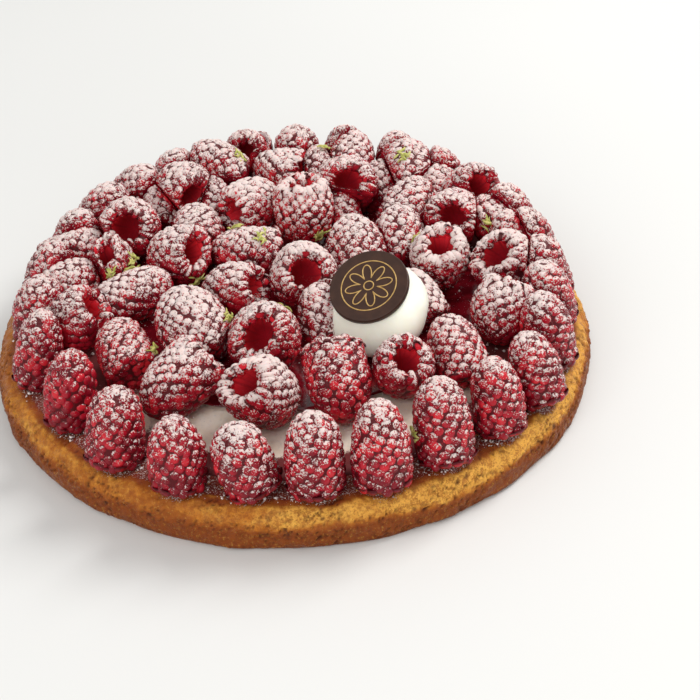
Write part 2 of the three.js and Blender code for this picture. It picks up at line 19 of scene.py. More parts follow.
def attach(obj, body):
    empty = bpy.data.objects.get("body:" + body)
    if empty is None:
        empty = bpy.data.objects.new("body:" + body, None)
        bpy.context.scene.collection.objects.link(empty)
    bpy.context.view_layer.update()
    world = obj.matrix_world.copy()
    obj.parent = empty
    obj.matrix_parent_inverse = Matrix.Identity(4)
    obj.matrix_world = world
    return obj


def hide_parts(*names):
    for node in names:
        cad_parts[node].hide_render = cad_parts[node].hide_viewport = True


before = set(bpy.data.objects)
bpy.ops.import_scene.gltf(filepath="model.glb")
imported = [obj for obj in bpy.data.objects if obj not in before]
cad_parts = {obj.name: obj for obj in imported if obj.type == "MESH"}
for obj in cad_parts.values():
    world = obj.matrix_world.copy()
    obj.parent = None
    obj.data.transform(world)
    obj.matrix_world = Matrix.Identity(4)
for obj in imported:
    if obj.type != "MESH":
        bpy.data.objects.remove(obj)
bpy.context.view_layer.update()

LOG = logging.getLogger("tart")
MM = 0.001
SEED = 20771
GOLDEN_ANGLE = math.pi * (3 - math.sqrt(5))
TINY = 1e-9

# Factors that mix whole numbers until no pattern shows, and a mask of the 32 bits that are kept.
AXIS_FACTORS = (73856093, 19349663, 83492791)
SEED_FACTOR = 2654435
CHANNEL_FACTOR = 97531
ROUND_FACTORS = (1103515306, 1103515282)
WORD = 0xFFFFFFFF

# What a berry's core carries all over: a low crest, which gives it painted groove shade.
CORE_TRAITS = {"crest": 0.42, "tone_and_foot_shade": 0.5, "rise": -0.8}

Array = np.ndarray
Material = bpy.types.Material
Node = bpy.types.Node
Socket = bpy.types.NodeSocket
Colour = tuple[float, float, float, float]
Face = tuple[int, ...]
Form = tuple[Array, list[Face]]
Pair = tuple[float, float]
Place = tuple[float, float, float]
Traits = dict[str, Array]
BerryRow = tuple[float, float, float, float, float, float, float, bool]
Scatter = tuple[int, Pair, int, Pair]
Lamp = tuple[str, Place, float, float, float]

# Each berry lies at a radius and an angle round the tart. Its tip points along a heading and a pitch. Then
# come its length and width, how far it is lifted off the filling, and whether its hollow mouth is in view.
RIM_BERRIES: tuple[BerryRow, ...] = (
    (86.5, 3, 180, 76, 25, 18, 0, False),
    (86.5, 15, 190, 76, 25, 18, 0, False),
    (87, 27, 210, 76, 25, 18, 0, False),
    (88.5, 39, 220, 76, 25, 18, 0, False),
    (89, 52, 230, 76, 25, 18, 0, False),
    (91, 64, 240, 76, 26, 18, 0, False),
    (91, 77, 260, 76, 26, 18, 0, False),
    (90, 89, 270, 76, 26, 20, 0, False),
    (92, 99, 280, 76, 25, 17, 0, False),
    (90, 109, 290, 76, 24, 17, 0, False),
    (91, 119, 300, 70, 25, 19, 0, False),
    (92, 130, 350, 50, 26, 19, 0, False),
    (91, 140, 340, 60, 25, 19, 0, False),
    (88.5, 153, 330, 70, 25, 18, 0, False),
    (88.5, 167, 345, 70, 25, 18, 0, False),
    (88, 182, 20, 76, 25, 19, 0, False),
    (90.5, 198.5, 10, 78, 29, 17, 0, False),
    (90, 215, 40, 78, 28, 18, 0, False),
    (92, 231, 60, 76, 27, 20, 0, False),
    (94, 246, 90, 78, 25, 19, 0, False),
    (92, 259, 150, 70, 25, 20, 0, False),
    (91, 273, 90, 80, 28, 20, 0, False),
    (93, 286, 100, 80, 30, 19.5, 0, False),
    (91, 300, 110, 76, 29, 20, 0, False),
    (92, 314, 120, 76, 27, 18, 0, False),
    (93, 326, 140, 74, 26, 18, 0, False),
    (89.5, 339, 150, 76, 28, 18, 0, False),
    (87, 352, 170, 76, 25, 18, 0, False),
)
OUTER_BERRIES: tuple[BerryRow, ...] = (
    (74, 5, 55, -46, 25, 23, 1, True),
    (81.5, 15, 120, 40, 25, 18, 1, False),
    (80, 26, 150, 25, 23, 18, 2, False),
    (83, 38.5, 109, -39, 24, 21, 3, True),
    (80, 48, 90, 40, 22, 17, 1, False),
    (82, 58, 100, 30, 25, 21, 3, False),
    (82, 74, 80, 20, 23, 18, 4, False),
    (76, 83, 90, 40, 22, 17, 0, False),
    (74, 94, 144, -20, 25, 19, 2, True),
    (91, 101, 90, -28, 23, 17, 6.5, True),
    (82, 110, 150, 25, 26, 20, 3, False),
    (75.5, 122.5, 112, -12, 24, 22, 2, True),
    (77, 130, 95, 30, 20, 15, 0, False),
    (71, 146, 87, -35, 25, 23, 0.5, True),
    (85, 158, 10, 20, 25, 17, 1, False),
    (79.5, 171.5, 40, 0, 24, 18, 1, True),
    (77.5, 191.5, 170, -42, 25, 22, 0, True),
    (65, 207, 110, 15, 25, 20, 0, False),
    (65, 233, 210, -30, 28, 22, 0, True),
    (62, 260, 46, -50, 27, 24, 0, True),
    (58, 283.5, 280, -35, 28, 22, 0, False),
    (60.5, 305, 101, -53, 23, 21, 0, True),
    (66.5, 322, 108, 35, 26, 20, 0, False),
    (73, 343, 240, -50, 23, 22, 0.5, True),
    (67.5, 163, 75, -62, 20, 18, 0, True),
)
INNER_BERRIES: tuple[BerryRow, ...] = (
    (52, 12, 92, -66, 22, 22, 0.5, True),
    (68, 32, 85, -39, 24, 22, 0.5, True),
    (46, 35, 90, 40, 24, 20, 0.5, False),
    (29, 42, 95, 45, 25, 23, 0, False),
    (64, 48, 60, 22, 23, 20, 1, False),
    (74, 65, 70, 20, 22, 17, 0, False),
    (51, 70, 90, 60, 20, 15, 0, False),
    (60.5, 71, 92, -42, 24, 23, 3, True),
    (44, 85, 275, -80, 25, 23, 0.5, True),
    (54, 106, 47, -12, 24, 21, 1.5, True),
    (69, 116, 95, 40, 20, 15, 0, False),
    (29, 127, 180, 8, 25, 19, 1, False),
    (53, 131.5, 95, 5, 24, 20, 0, False),
    (46.5, 153.5, 136, -34, 25, 22, 0.5, True),
    (55, 179, 20, 12, 27, 18, 1, False),
    (22, 184, 155, -22, 23, 20, 1, True),
    (42, 214, 125, 36, 29, 26, 0, False),
    (34, 252.5, 78, -42, 25, 25, 0, True),
    (18, 299, 100, 40, 22, 17, 0, False),
    (41.5, 346, 120, 30, 22, 19, 0, False),
    (4.5, 54, 101, -36, 25, 24, 0.5, True),
)

# Berries that are pressed together make one piece, in which the first one gives the name.
PRESSED_TOGETHER: tuple[tuple[str, ...], ...] = (
    ("rim_12", "rim_13"),
    ("outer_02", "rim_02"),
    ("outer_03", "rim_03"),
    ("outer_04", "rim_04"),
    ("outer_05", "rim_05"),
    ("outer_06", "rim_06", "inner_06"),
    ("outer_07", "rim_07"),
    ("outer_09", "outer_08"),
    ("outer_10", "rim_09"),
    ("outer_11", "rim_10"),
    ("outer_12", "outer_13", "inner_11"),
    ("outer_15", "rim_14"),
    ("outer_16", "rim_15", "outer_25"),
    ("inner_04", "inner_03"),
    ("inner_08", "inner_07"),
    ("inner_21", "inner_19"),
)

# Berries that caught more icing sugar than the rest, or less.
EXTRA_DUST: dict[str, float] = {
    "inner_01": 0.48,
    "outer_01": 0.35,
    "inner_21": 0.28,
    "inner_10": 0.14,
    "outer_24": 0.12,
    "outer_20": 0.4,
    "inner_20": 0.3,
    "inner_09": 0.32,
    "inner_17": 0.1,
    "inner_12": -0.04,
    "outer_21": -0.2,
    "outer_23": -0.16,
    "outer_18": -0.2,
    "outer_17": -0.1,
    "rim_20": -0.17,
    "rim_18": -0.34,
    "rim_19": -0.18,
    "rim_26": -0.08,
    "rim_24": -0.06,
    "rim_25": -0.1,
    "rim_17": -0.06,
}

# Berries of a brighter red than the rest.
BRIGHTER: dict[str, float] = {
    "inner_09": 1.0,
    "outer_18": 0.6,
    "outer_21": 0.4,
    "rim_25": 0.4,
    "rim_23": 0.4,
    "inner_10": 0.5,
    "outer_23": 0.5,
}

# Tufts of grated zest, each on one berry, toward a heading and a pitch from that berry's middle.
ZEST_TUFTS: tuple[tuple[str, float, float], ...] = (
    ("outer_06", 250, 60),
    ("outer_11", 335, 35),
    ("outer_08", 60, 62),
    ("inner_12", 120, 60),
    ("inner_14", 300, -12),
    ("inner_17", 350, 22),
    ("outer_18", 330, 15),
    ("inner_15", 110, 40),
    ("rim_24", 205, -8),
    ("inner_01", 140, 26),
    ("outer_25", 275, 22),
    ("outer_25", 330, 25),
    ("outer_03", 260, 30),
    ("inner_12", 330, 50),
    ("inner_09", 300, -20),
    ("inner_18", 60, 30),
)


class Slot(Enum):
    """The record's material slots."""

    CRUST = "crust"
    CREAM = "cream"
    COULIS = "coulis"
    RASPBERRY = "raspberry"
    WHIPPED_CREAM = "whipped_cream"
    CHOCOLATE = "chocolate"


class Join(Enum):
    """Ways to put two numbers of a material together."""

    ADD = "ADD"
    MULTIPLY = "MULTIPLY"
    MAXIMUM = "MAXIMUM"


def seeded(seed: int) -> Callable[[], float]:
    """Repeatable random numbers from 0 to 1, as the solids use them.

    Args:
        seed: Any whole number.

    Returns:
        A function that gives the next number at each call.
    """
    factor, addend, span = 1664525, 1013904223, 2**32
    state = seed

    def following() -> float:
        """Steps on to the next number.

        Returns:
            A number from 0 to 1.
        """
        nonlocal state
        state = (state * factor + addend) % span
        return state / span

    return following


def round_noise(waves: Sequence[int], seed: int) -> Callable[[Array], Array]:
    """Smooth unevenness round the tart, from -1 to 1, that closes on itself.

    Args:
        waves: How many waves of each kind go round.
        seed: Seed of their phases.

    Returns:
        A function of the angle in radians.
    """
    random = seeded(seed)
    terms = [(count, random() * 2 * math.pi) for count in waves]

    def at(angle: Array) -> Array:
        """The unevenness at an angle."""
        return sum(np.sin(count * angle + phase) for count, phase in terms) / len(terms)

    return at


def direction_of(heading: float, pitch: float) -> Array:
    """A unit vector from a heading and a pitch in degrees.

    Args:
        heading: Degrees from +X toward +Y.
        pitch: Degrees above level.

    Returns:
        The unit vector.
    """
    turn = math.radians(heading)
    rise = math.radians(pitch)
    return np.array([math.cos(turn) * math.cos(rise), math.sin(turn) * math.cos(rise), math.sin(rise)])


def turn_toward(direction: Array) -> Array:
    """The shortest turn that carries +Z to a direction, as a 3 by 3 matrix."""
    return np.array(Vector((0, 0, 1)).rotation_difference(Vector(direction)).to_matrix())


def smooth_step(low: float, high: float, value: Array) -> Array:
    """A soft step from 0 at low to 1 at high."""
    share = np.clip((value - low) / (high - low), 0, 1)
    return share * share * (3 - 2 * share)


def bell(value: Array, middle: float, width: float) -> Array:
    """A soft bump from 0 up to 1 at a middle and down again."""
    return np.exp(-(((value - middle) / width) ** 2))


def circle(count: int) -> Array:
    """Angles in radians, evenly spaced all the way round."""
    return np.arange(count) / count * 2 * math.pi


def lengths_of(vectors: Array) -> Array:
    """The length of each row, as a column that can be divided by."""
    return np.linalg.norm(vectors, axis=1)[:, None] + TINY


@dataclass(frozen=True)
class Grain:
    """Repeatable unevenness in space.

    Attributes:
        seed: Seed of the pattern.
        size: Length of one lump in mm.
    """

    seed: int
    size: float

    def _value(self, cell: Array, channel: int = 0) -> Array:
        """Mixes the three numbers of each cell into one.

        Args:
            cell: Whole numbers, three along the last axis.
            channel: Which of several unrelated patterns to take.

        Returns:
            A number from 0 to 1 for each cell.
        """
        x, y, z = (cell[..., axis] * factor for axis, factor in enumerate(AXIS_FACTORS))
        mixed = (x ^ y ^ z ^ (self.seed * SEED_FACTOR + channel * CHANNEL_FACTOR)) & WORD
        for factor in ROUND_FACTORS:
            mixed = (mixed ^ (mixed >> 15)) * factor & WORD
        levels = 2**16
        return (mixed ^ (mixed >> 13)) % levels / (levels - 1)

    def smooth(self, points: Array) -> Array:
        """Soft lumps from -1 to 1.

        Args:
            points: Places in mm, one row each.

        Returns:
            One number for each place.
        """
        scaled = points / self.size
        cell = np.floor(scaled).astype(np.int64)
        share = smooth_step(0, 1, scaled - cell)
        total = np.zeros(len(points))
        for corner in itertools.product((0, 1), repeat=3):
            weight = np.prod(np.where(corner, share, 1 - share), axis=1)
            total += weight * self._value(cell + corner)
        return total * 2 - 1

    def nearest(self, points: Array) -> Array:
        """Distance to the nearest of many scattered dots, in lump lengths.

        Args:
            points: Places in mm, one row each.

        Returns:
            One distance for each place.
        """
        scaled = points / self.size
        cell = np.floor(scaled).astype(np.int64)
        best = np.full(len(points), np.inf)
        for offset in itertools.product((-1, 0, 1), repeat=3):
            near = cell + offset
            dot = near + np.stack([self._value(near, channel) for channel in (1, 2, 3)], axis=1)
            best = np.minimum(best, np.linalg.norm(scaled - dot, axis=1))
        return best


def uneven(points: Array, seed: int, size: float, depth: float) -> Array:
    """How far soft bends shift each point, from the length of a bend and its depth in mm."""
    return depth * np.stack([Grain(seed + side, size).smooth(points) for side in range(3)], axis=1)


class Paint:
    """A node material in the making."""

    def __init__(self, name: str, **constants: object) -> None:
        """Starts a material.

        Args:
            name: Name of the material.
            constants: Values of the shader's own sockets, by socket name with underscores for spaces.
        """
        self.material = bpy.data.materials.new(name)
        self.material.use_nodes = True
        self.nodes = self.material.node_tree.nodes
        self.links = self.material.node_tree.links
        self.shader = self.nodes["Principled BSDF"]
        for socket, value in constants.items():
            self.shader.inputs[socket.replace("_", " ")].default_value = value

    def node(self, kind: str, inputs: dict[str | int, object] | None = None, **settings: object) -> Node:
        """Adds a node.

        Args:
            kind: Blender's name of the node type.
            inputs: Values or sockets for its inputs.
            settings: Its own settings.

        Returns:
            The node.
        """
        made = self.nodes.new(kind)
        for name, value in settings.items():
            setattr(made, name, value)
        for key, value in (inputs or {}).items():
            self.feed(made.inputs[key], value)
        return made

    def feed(self, socket: Socket, value: object) -> None:
        """Links a socket to another, or sets its value.

        Args:
            socket: The input to fill.
            value: The socket to link it to, or its value.
        """
        if isinstance(value, Socket):
            self.links.new(value, socket)
        else:
            socket.default_value = value

    def trait(self, name: str) -> Socket:
        """A number that the mesh carries at each point."""
        return self.node("ShaderNodeAttribute", attribute_name=name).outputs["Fac"]

    def grain(self, size: float, detail: float = 2.0, roughness: float = 0.5) -> Socket:
        """Noise from 0 to 1 with lumps of a size in mm.

        Args:
            size: Size of a lump in mm.
            detail: How many finer kinds of lumps lie on it.
            roughness: How strong the finer kinds are.

        Returns:
            The noise.
        """
        place = self.node("ShaderNodeTexCoord").outputs["Object"]
        inputs = {"Vector": place, "Scale": 1 / (size * MM), "Detail": detail, "Roughness": roughness}
        return self.node("ShaderNodeTexNoise", inputs).outputs["Fac"]

    def put(self, how: Join, first: object, second: object) -> Socket:
        """Two numbers put together."""
        return self.node("ShaderNodeMath", {0: first, 1: second}, operation=how.value).outputs[0]

    def add(self, total: object, *others: object) -> Socket:
        """Several numbers added up.

        Args:
            total: The first of them.
            others: The rest.

        Returns:
            Their sum.
        """
        for other in others:
            total = self.put(Join.ADD, total, other)
        return total

    def weighed(self, value: object, factor: float, offset: float = 0.0) -> Socket:
        """A number times a factor plus an offset."""
        inputs = {0: value, 1: factor, 2: offset}
        return self.node("ShaderNodeMath", inputs, operation="MULTIPLY_ADD").outputs[0]

    def centred(self, value: object, span: float) -> Socket:
        """A number from 0 to 1, stretched over a span with zero in its middle."""
        return self.weighed(value, span, -span / 2)

    def step(self, value: object, low: float, high: float, most: float = 1, least: float = 0) -> Socket:
        """A soft step from a least to a most, while a number goes from low to high."""
        inputs = {"Value": value, "From Min": low, "From Max": high, "To Min": least, "To Max": most}
        return self.node("ShaderNodeMapRange", inputs, interpolation_type="SMOOTHSTEP").outputs["Result"]

    def layered(self, colour: object, *layers: tuple[object, object]) -> Socket:
        """Lays colours over each other.

        Args:
            colour: The lowest colour.
            layers: For each further one, how much of it covers those below, from 0 to 1, and the colour.

        Returns:
            The colour that shows.
        """
        for share, top in layers:
            inputs = {0: share, 6: colour, 7: top}
            colour = self.node("ShaderNodeMix", inputs, data_type="RGBA", clamp_factor=True).outputs[2]
        return colour

    def upward(self) -> Socket:
        """How far the surface faces up, from -1 to 1."""
        normal = self.node("ShaderNodeNewGeometry").outputs["Normal"]
        return self.node("ShaderNodeSeparateXYZ", {0: normal}).outputs["Z"]

    def finish(self, colour: object, roughness: object, relief: object, depth: float) -> Material:
        """Gives the shader its colour, roughness and fine relief.

        Args:
            colour: Colour or socket.
            roughness: Number or socket.
            relief: Socket of a height from 0 to 1.
            depth: Height of the relief in mm.

        Returns:
            The material.
        """
        bump = self.node("ShaderNodeBump", {"Height": relief, "Distance": depth * MM, "Strength": 1.0})
        self.feed(self.shader.inputs["Base Color"], colour)
        self.feed(self.shader.inputs["Roughness"], roughness)
        self.feed(self.shader.inputs["Normal"], bump.outputs["Normal"])
        return self.material


@dataclass(frozen=True)
class BerryFinish:
    """Berry skin under icing sugar that lies in flecks on whatever faces up.

    Attributes:
        groove_shade: Painted shade in the grooves between the drupelets.
        deep: Darkest red of the skin, for darker drupelets, and painted shade toward the foot and in the
            hollow's rib grooves.
        skin: Its usual red.
        bright: Its brightest red.
        hollow: Colour of the hollow near its mouth, brighter than the skin as painted light through the
            flesh.
        bottom: Painted shade deep in the hollow.
        sugar: Colour of icing sugar.
        fleck: Size of a fleck of sugar in mm.
        drift: Size of a drift of flecks in mm.
        blush: Size of a lighter or darker place in the skin in mm.
        facing: How much more sugar lies on what faces up.
        scatter: How strongly the flecks break the sugar up.
        levels: Where the sugar starts and where it is full.
        most_sugar: Greatest share of the skin under sugar.
        most_haze: Greatest share under the thin haze round it.
        gloss: Roughness of the bare skin.
        height: Height of the sugar in mm.
    """

    groove_shade: Colour = (0.085, 0.001, 0.004, 1)
    deep: Colour = (0.19, 0.004, 0.012, 1)
    skin: Colour = (0.4, 0.009, 0.022, 1)
    bright: Colour = (0.62, 0.022, 0.034, 1)
    hollow: Colour = (0.95, 0.035, 0.055, 1)
    bottom: Colour = (0.36, 0.004, 0.014, 1)
    sugar: Colour = (0.78, 0.645, 0.605, 1)
    fleck: float = 0.62
    drift: float = 2.2
    blush: float = 6.0
    facing: float = 0.85
    scatter: float = 4.2
    levels: Pair = (0.4, 0.52)
    most_sugar: float = 0.96
    most_haze: float = 0.035
    gloss: float = 0.13
    height: float = 0.16

    def _crest(self, paint: Paint) -> Socket:
        """How near a point lies to the top of its drupelet, a little broken up."""
        return paint.add(paint.trait("crest"), paint.centred(paint.grain(1.3), 0.5))

    def _flesh(self, paint: Paint) -> Socket:
        """Colours the bare skin and the hollow.

        Args:
            paint: The material in the making.

        Returns:
            The colour.
        """
        drupelet = paint.weighed(paint.trait("tone_and_foot_shade"), 0.6, 0.2)
        tone_and_foot_shade = paint.add(drupelet, paint.centred(paint.grain(self.blush), 3.4))
        # The skin's tone also carries painted shade toward the berry's foot.
        skin = paint.layered(
            self.deep,
            (paint.step(tone_and_foot_shade, 0.0, 0.7), self.skin),
            (paint.step(tone_and_foot_shade, 0.7, 1.3), self.bright),
            # Painted shade in the grooves between the drupelets, where the crest is low.
            (paint.step(self._crest(paint), 0.74, 0.42), self.groove_shade),
        )
        # The hollow's wall is painted brighter than the skin, as light shining through the flesh.
        wall = paint.layered(
            self.hollow,
            # Painted shade deep in the hollow, and in the grooves between its ribs.
            (paint.trait("deep"), self.bottom),
            (paint.step(paint.trait("rib"), 0.1, 0.9, most=0.4), self.deep),
        )
        return paint.layered(skin, (paint.trait("inside"), wall))

    def make(self) -> Material:
        """Makes the material of every berry.

        Returns:
            The material.
        """
        paint = Paint(
            "raspberry skin",
            Specular_IOR_Level=0.3,
            Subsurface_Weight=0.12,
            Subsurface_Radius=(1.0, 0.15, 0.1),
            Subsurface_Scale=0.001,
            IOR=1.45,
        )
        fine = paint.grain(self.fleck, 3.0, 0.68)
        sugar = paint.add(
            paint.trait("sugar"),
            paint.weighed(paint.upward(), self.facing),
            paint.centred(fine, self.scatter),
            paint.centred(paint.grain(self.drift, 1.0), 1.2),
        )
        flecks = paint.step(sugar, *self.levels, most=self.most_sugar)
        ridge = paint.step(self._crest(paint), 0.45, 0.68, least=0.05)
        haze = paint.step(sugar, 0.0, 0.45, most=self.most_haze)
        cover = paint.put(Join.MAXIMUM, paint.put(Join.MULTIPLY, flecks, ridge), haze)
        colour = paint.layered(self._flesh(paint), (cover, self.sugar))
        dull = paint.step(self._crest(paint), 0.66, 0.4, most=0.5)
        deep = paint.weighed(paint.trait("deep"), 0.4)
        roughness = paint.add(paint.weighed(cover, 0.6, self.gloss), dull, deep)
        relief = paint.add(paint.weighed(cover, 0.7), paint.weighed(fine, 0.3))
        return paint.finish(colour, roughness, relief, self.height)


@dataclass(frozen=True)
class CrustFinish:
    """Baked sweet pastry: golden on its shoulder, toasted by the berries and browner down its side.

    Attributes:
        yellow: Its palest colour, also used for painted glints.
        golden: Its usual colour.
        toasted: Colour near the berries and in its mottles.
        brown: Colour of its side.
        dark: Painted shade in its pits.
        juice_and_shade: Colour where juice has soaked in, and painted shade under and between the berries.
        sugar: Colour of icing sugar.
        crumb: Size of its crumb in mm.
        lump: Size of its lumps in mm.
        cloud: Size of its paler and darker places in mm.
        mottle: Size of its mottles in mm.
        pore: Size of its pores in mm.
        speck: Size of a speck of sugar in mm.
        shine: Size of its duller places in mm.
        height: Height of its relief in mm.
    """

    yellow: Colour = (0.85, 0.43, 0.07, 1)
    golden: Colour = (0.54, 0.175, 0.015, 1)
    toasted: Colour = (0.28, 0.062, 0.005, 1)
    brown: Colour = (0.165, 0.03, 0.002, 1)
    dark: Colour = (0.04, 0.01, 0.004, 1)
    juice_and_shade: Colour = (0.15, 0.008, 0.01, 1)
    sugar: Colour = (0.76, 0.64, 0.6, 1)
    crumb: float = 0.6
    lump: float = 2.2
    cloud: float = 12.0
    mottle: float = 1.8
    pore: float = 1.1
    speck: float = 0.5
    shine: float = 3.5
    height: float = 0.36

    def make(self) -> Material:
        """Makes the material of the baked base.

        Returns:
            The material.
        """
        paint = Paint("baked pastry", Specular_IOR_Level=0.22)
        fine = paint.grain(self.crumb, 4.0, 0.72)
        lumps = paint.grain(self.lump, 3.0, 0.62)
        ragged = paint.add(paint.centred(fine, 1.5), paint.centred(lumps, 1.3))
        cloudy = paint.weighed(paint.grain(self.cloud), 1.6, -0.3)
        # How baked it is also carries painted shade on one side of the rim and painted light on another.
        gold = paint.add(cloudy, paint.weighed(paint.trait("bake_and_side_lighting"), 1.7), ragged)
        toast = paint.add(paint.trait("toast"), paint.weighed(ragged, 0.6))
        bake_and_side_lighting = paint.add(paint.trait("bake_and_side_lighting"), paint.weighed(ragged, 0.75))
        mottles = paint.add(fine, paint.centred(paint.grain(self.mottle, 3.0, 0.6), 0.9))
        pores = paint.add(fine, paint.centred(paint.grain(self.pore, 3.0, 0.6), 0.8))
        stain_and_shade = paint.add(paint.trait("stain_and_shade"), paint.weighed(ragged, 0.5))
        dusted = paint.add(paint.trait("dusted"), paint.centred(paint.grain(self.speck, 3.0, 0.65), 2.4))
        cover = paint.step(dusted, 0.42, 0.56, most=0.9)
        colour = paint.layered(
            self.yellow,
            (paint.step(gold, 0.0, 1.0), self.golden),
            (paint.step(toast, 0.25, 0.85), self.toasted),
            (paint.step(bake_and_side_lighting, 0.0, 0.6), self.toasted),
            (paint.step(bake_and_side_lighting, 0.4, 1.0), self.brown),
            (paint.step(mottles, 0.6, 0.36, most=0.65), self.toasted),
            (paint.step(pores, 0.42, 0.25, most=0.45), self.brown),
            # Painted glints: pale yellow specks where the pore pattern is high.
            (paint.step(pores, 0.55, 0.72, most=0.35), self.yellow),
            # Painted shade in the pits.
            (paint.trait("pit"), self.dark),
            # Juice stain and painted shade near, under and between the berries.
            (paint.step(stain_and_shade, 0.3, 0.8, most=0.85), self.juice_and_shade),
            (cover, self.sugar),
        )
        relief = paint.add(fine, paint.weighed(lumps, 0.8), paint.weighed(cover, 0.5))
        dull = paint.step(paint.grain(self.shine, 3.0, 0.6), 0.35, 0.6, most=0.55, least=0.26)
        return paint.finish(colour, paint.add(dull, paint.weighed(cover, 0.3)), relief, self.height)


@dataclass(frozen=True)
class CreamFinish:
    """Smooth cream, with a little icing sugar on it, juice that soaks in and painted shade near the
    berries.

    Attributes:
        name: Name of the material.
        body: Colour of the cream.
        shade: Colour of its hollows.
        dust: How much icing sugar lies on it.
        juice_and_shade: Colour where juice has soaked in, and painted shade near and between the berries.
        sugar: Colour of icing sugar.
        lump: Size of its soft lumps in mm.
        speck: Size of a speck of sugar in mm.
        height: Height of its relief in mm.
    """

    name: str
    body: Colour
    shade: Colour
    dust: float
    juice_and_shade: Colour = (0.15, 0.005, 0.011, 1)
    sugar: Colour = (0.8, 0.74, 0.7, 1)
    lump: float = 6.0
    speck: float = 0.7
    height: float = 0.15

    def make(self) -> Material:
        """Makes the material.

        Returns:
            The material.
        """
        paint = Paint(
            self.name,
            Specular_IOR_Level=0.2,
            Subsurface_Weight=0.15,
            Subsurface_Radius=(1.0, 0.7, 0.4),
            Subsurface_Scale=0.002,
            IOR=1.4,
        )
        lumps = paint.grain(self.lump, 3.0)
        fine = paint.grain(self.speck, 3.0, 0.6)
        cover = paint.step(paint.add(fine, self.dust), 0.6, 0.72, most=0.8)
        stain_and_shade = paint.add(paint.trait("stain_and_shade"), paint.centred(lumps, 0.8), paint.centred(fine, 0.8))
        colour = paint.layered(
            self.shade,
            (paint.step(lumps, 0.35, 0.7), self.body),
            (cover, self.sugar),
            # Juice stain and painted shade wherever the cream is not clean and unshaded.
            (paint.step(stain_and_shade, 0.3, 0.7, most=0.96), self.juice_and_shade),
        )
        return paint.finish(colour, paint.weighed(cover, 0.35, 0.42), paint.add(lumps, cover), self.height)


@dataclass(frozen=True)
class CoulisFinish:
    """Wet dark red coulis, with a few specks of icing sugar.

    Attributes:
        thick: Colour where it is thick.
        thin: Colour where it is thin.
        sugar: Colour of icing sugar.
        lump: Size of its soft lumps in mm.
        speck: Size of a speck of sugar in mm.
        height: Height of its relief in mm.
    """

    thick: Colour = (0.12, 0.003, 0.008, 1)
    thin: Colour = (0.3, 0.008, 0.018, 1)
    sugar: Colour = (0.8, 0.66, 0.66, 1)
    lump: float = 5.0
    speck: float = 0.6
    height: float = 0.25

    def make(self) -> Material:
        """Makes the material.

        Returns:
            The material.
        """
        paint = Paint("raspberry coulis", IOR=1.4, Coat_Weight=0.6, Coat_Roughness=0.06)
        lumps = paint.grain(self.lump, 3.0)
        specks = paint.step(paint.grain(self.speck, 2.0, 0.7), 0.66, 0.72, most=0.85)
        colour = paint.layered(self.thick, (paint.step(lumps, 0.4, 0.65), self.thin), (specks, self.sugar))
        return paint.finish(colour, paint.weighed(specks, 0.5, 0.14), paint.add(lumps, specks), self.height)


@dataclass(frozen=True)
class ChocolateFinish:
    """Dark satin chocolate with faint cloudy marks.

    Attributes:
        dark: Its usual colour.
        light: Colour of the marks.
        mark: Size of a mark in mm.
        grit: Size of its faint grain in mm.
        height: Height of its relief in mm.
    """

    dark: Colour = (0.036, 0.0125, 0.006, 1)
    light: Colour = (0.052, 0.019, 0.009, 1)
    mark: float = 4.0
    grit: float = 0.4
    height: float = 0.02

    def make(self) -> Material:
        """Makes the material.

        Returns:
            The material.
        """
        paint = Paint("dark chocolate", IOR=1.45)
        cloud = paint.grain(self.mark, 3.0, 0.6)
        colour = paint.layered(self.dark, (paint.step(cloud, 0.35, 0.7), self.light))
        grit = paint.grain(self.grit, 3.0, 0.6)
        return paint.finish(colour, paint.weighed(cloud, 0.2, 0.36), grit, self.height)


@dataclass(frozen=True)
class PlainFinish:
    """One mottled colour, for small pieces.

    Attributes:
        name: Name of the material.
        first: One colour.
        second: The other.
        lump: Size of the mottling in mm.
        roughness: How dull it is.
        metallic: How metallic it is.
        height: Height of its relief in mm.
    """

    name: str
    first: Colour
    second: Colour
    lump: float
    roughness: float
    metallic: float = 0.0
    height: float = 0.05

    def make(self) -> Material:
        """Makes the material.

        Returns:
            The material.
        """
        paint = Paint(self.name, Metallic=self.metallic)
        lumps = paint.grain(self.lump)
        colour = paint.layered(self.first, (paint.step(lumps, 0.35, 0.65), self.second))
        return paint.finish(colour, paint.weighed(lumps, 0.1, self.roughness), lumps, self.height)


def linked(name: str, data: bpy.types.ID) -> bpy.types.Object:
    """Makes an object of a mesh, a lamp or a camera.

    Args:
        name: Name of the object.
        data: The mesh, lamp or camera.

    Returns:
        The object, linked to the scene.
    """
    made = bpy.data.objects.new(name, data)
    bpy.context.scene.collection.objects.link(made)
    return made


def add_piece(
    name: str,
    form: Form,
    material: Material,
    replaced: Sequence[str] = (),
    traits: Traits | None = None,
) -> None:
    """Makes a smooth mesh piece that rides on the tart.

    Args:
        name: Name of the piece.
        form: Its points in mm and its faces.
        material: Its material.
        replaced: The solids that it stands for.
        traits: Numbers that the mesh carries, one for each point.
    """
    points, faces = form
    mesh = bpy.data.meshes.new(name)
    mesh.from_pydata((points * MM).tolist(), [], faces)
    for trait, values in (traits or {}).items():
        mesh.attributes.new(trait, "FLOAT", "POINT").data.foreach_set("value", values.astype(np.float32))
    mesh.polygons.foreach_set("use_smooth", np.ones(len(mesh.polygons), dtype=bool))
    mesh.update()
    mesh.materials.append(material)
    piece = linked(name, mesh)
    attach(piece, "root")
    if replaced:
        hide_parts(*replaced)
    LOG.info("%s: %d points, %d faces", name, len(points), len(faces))


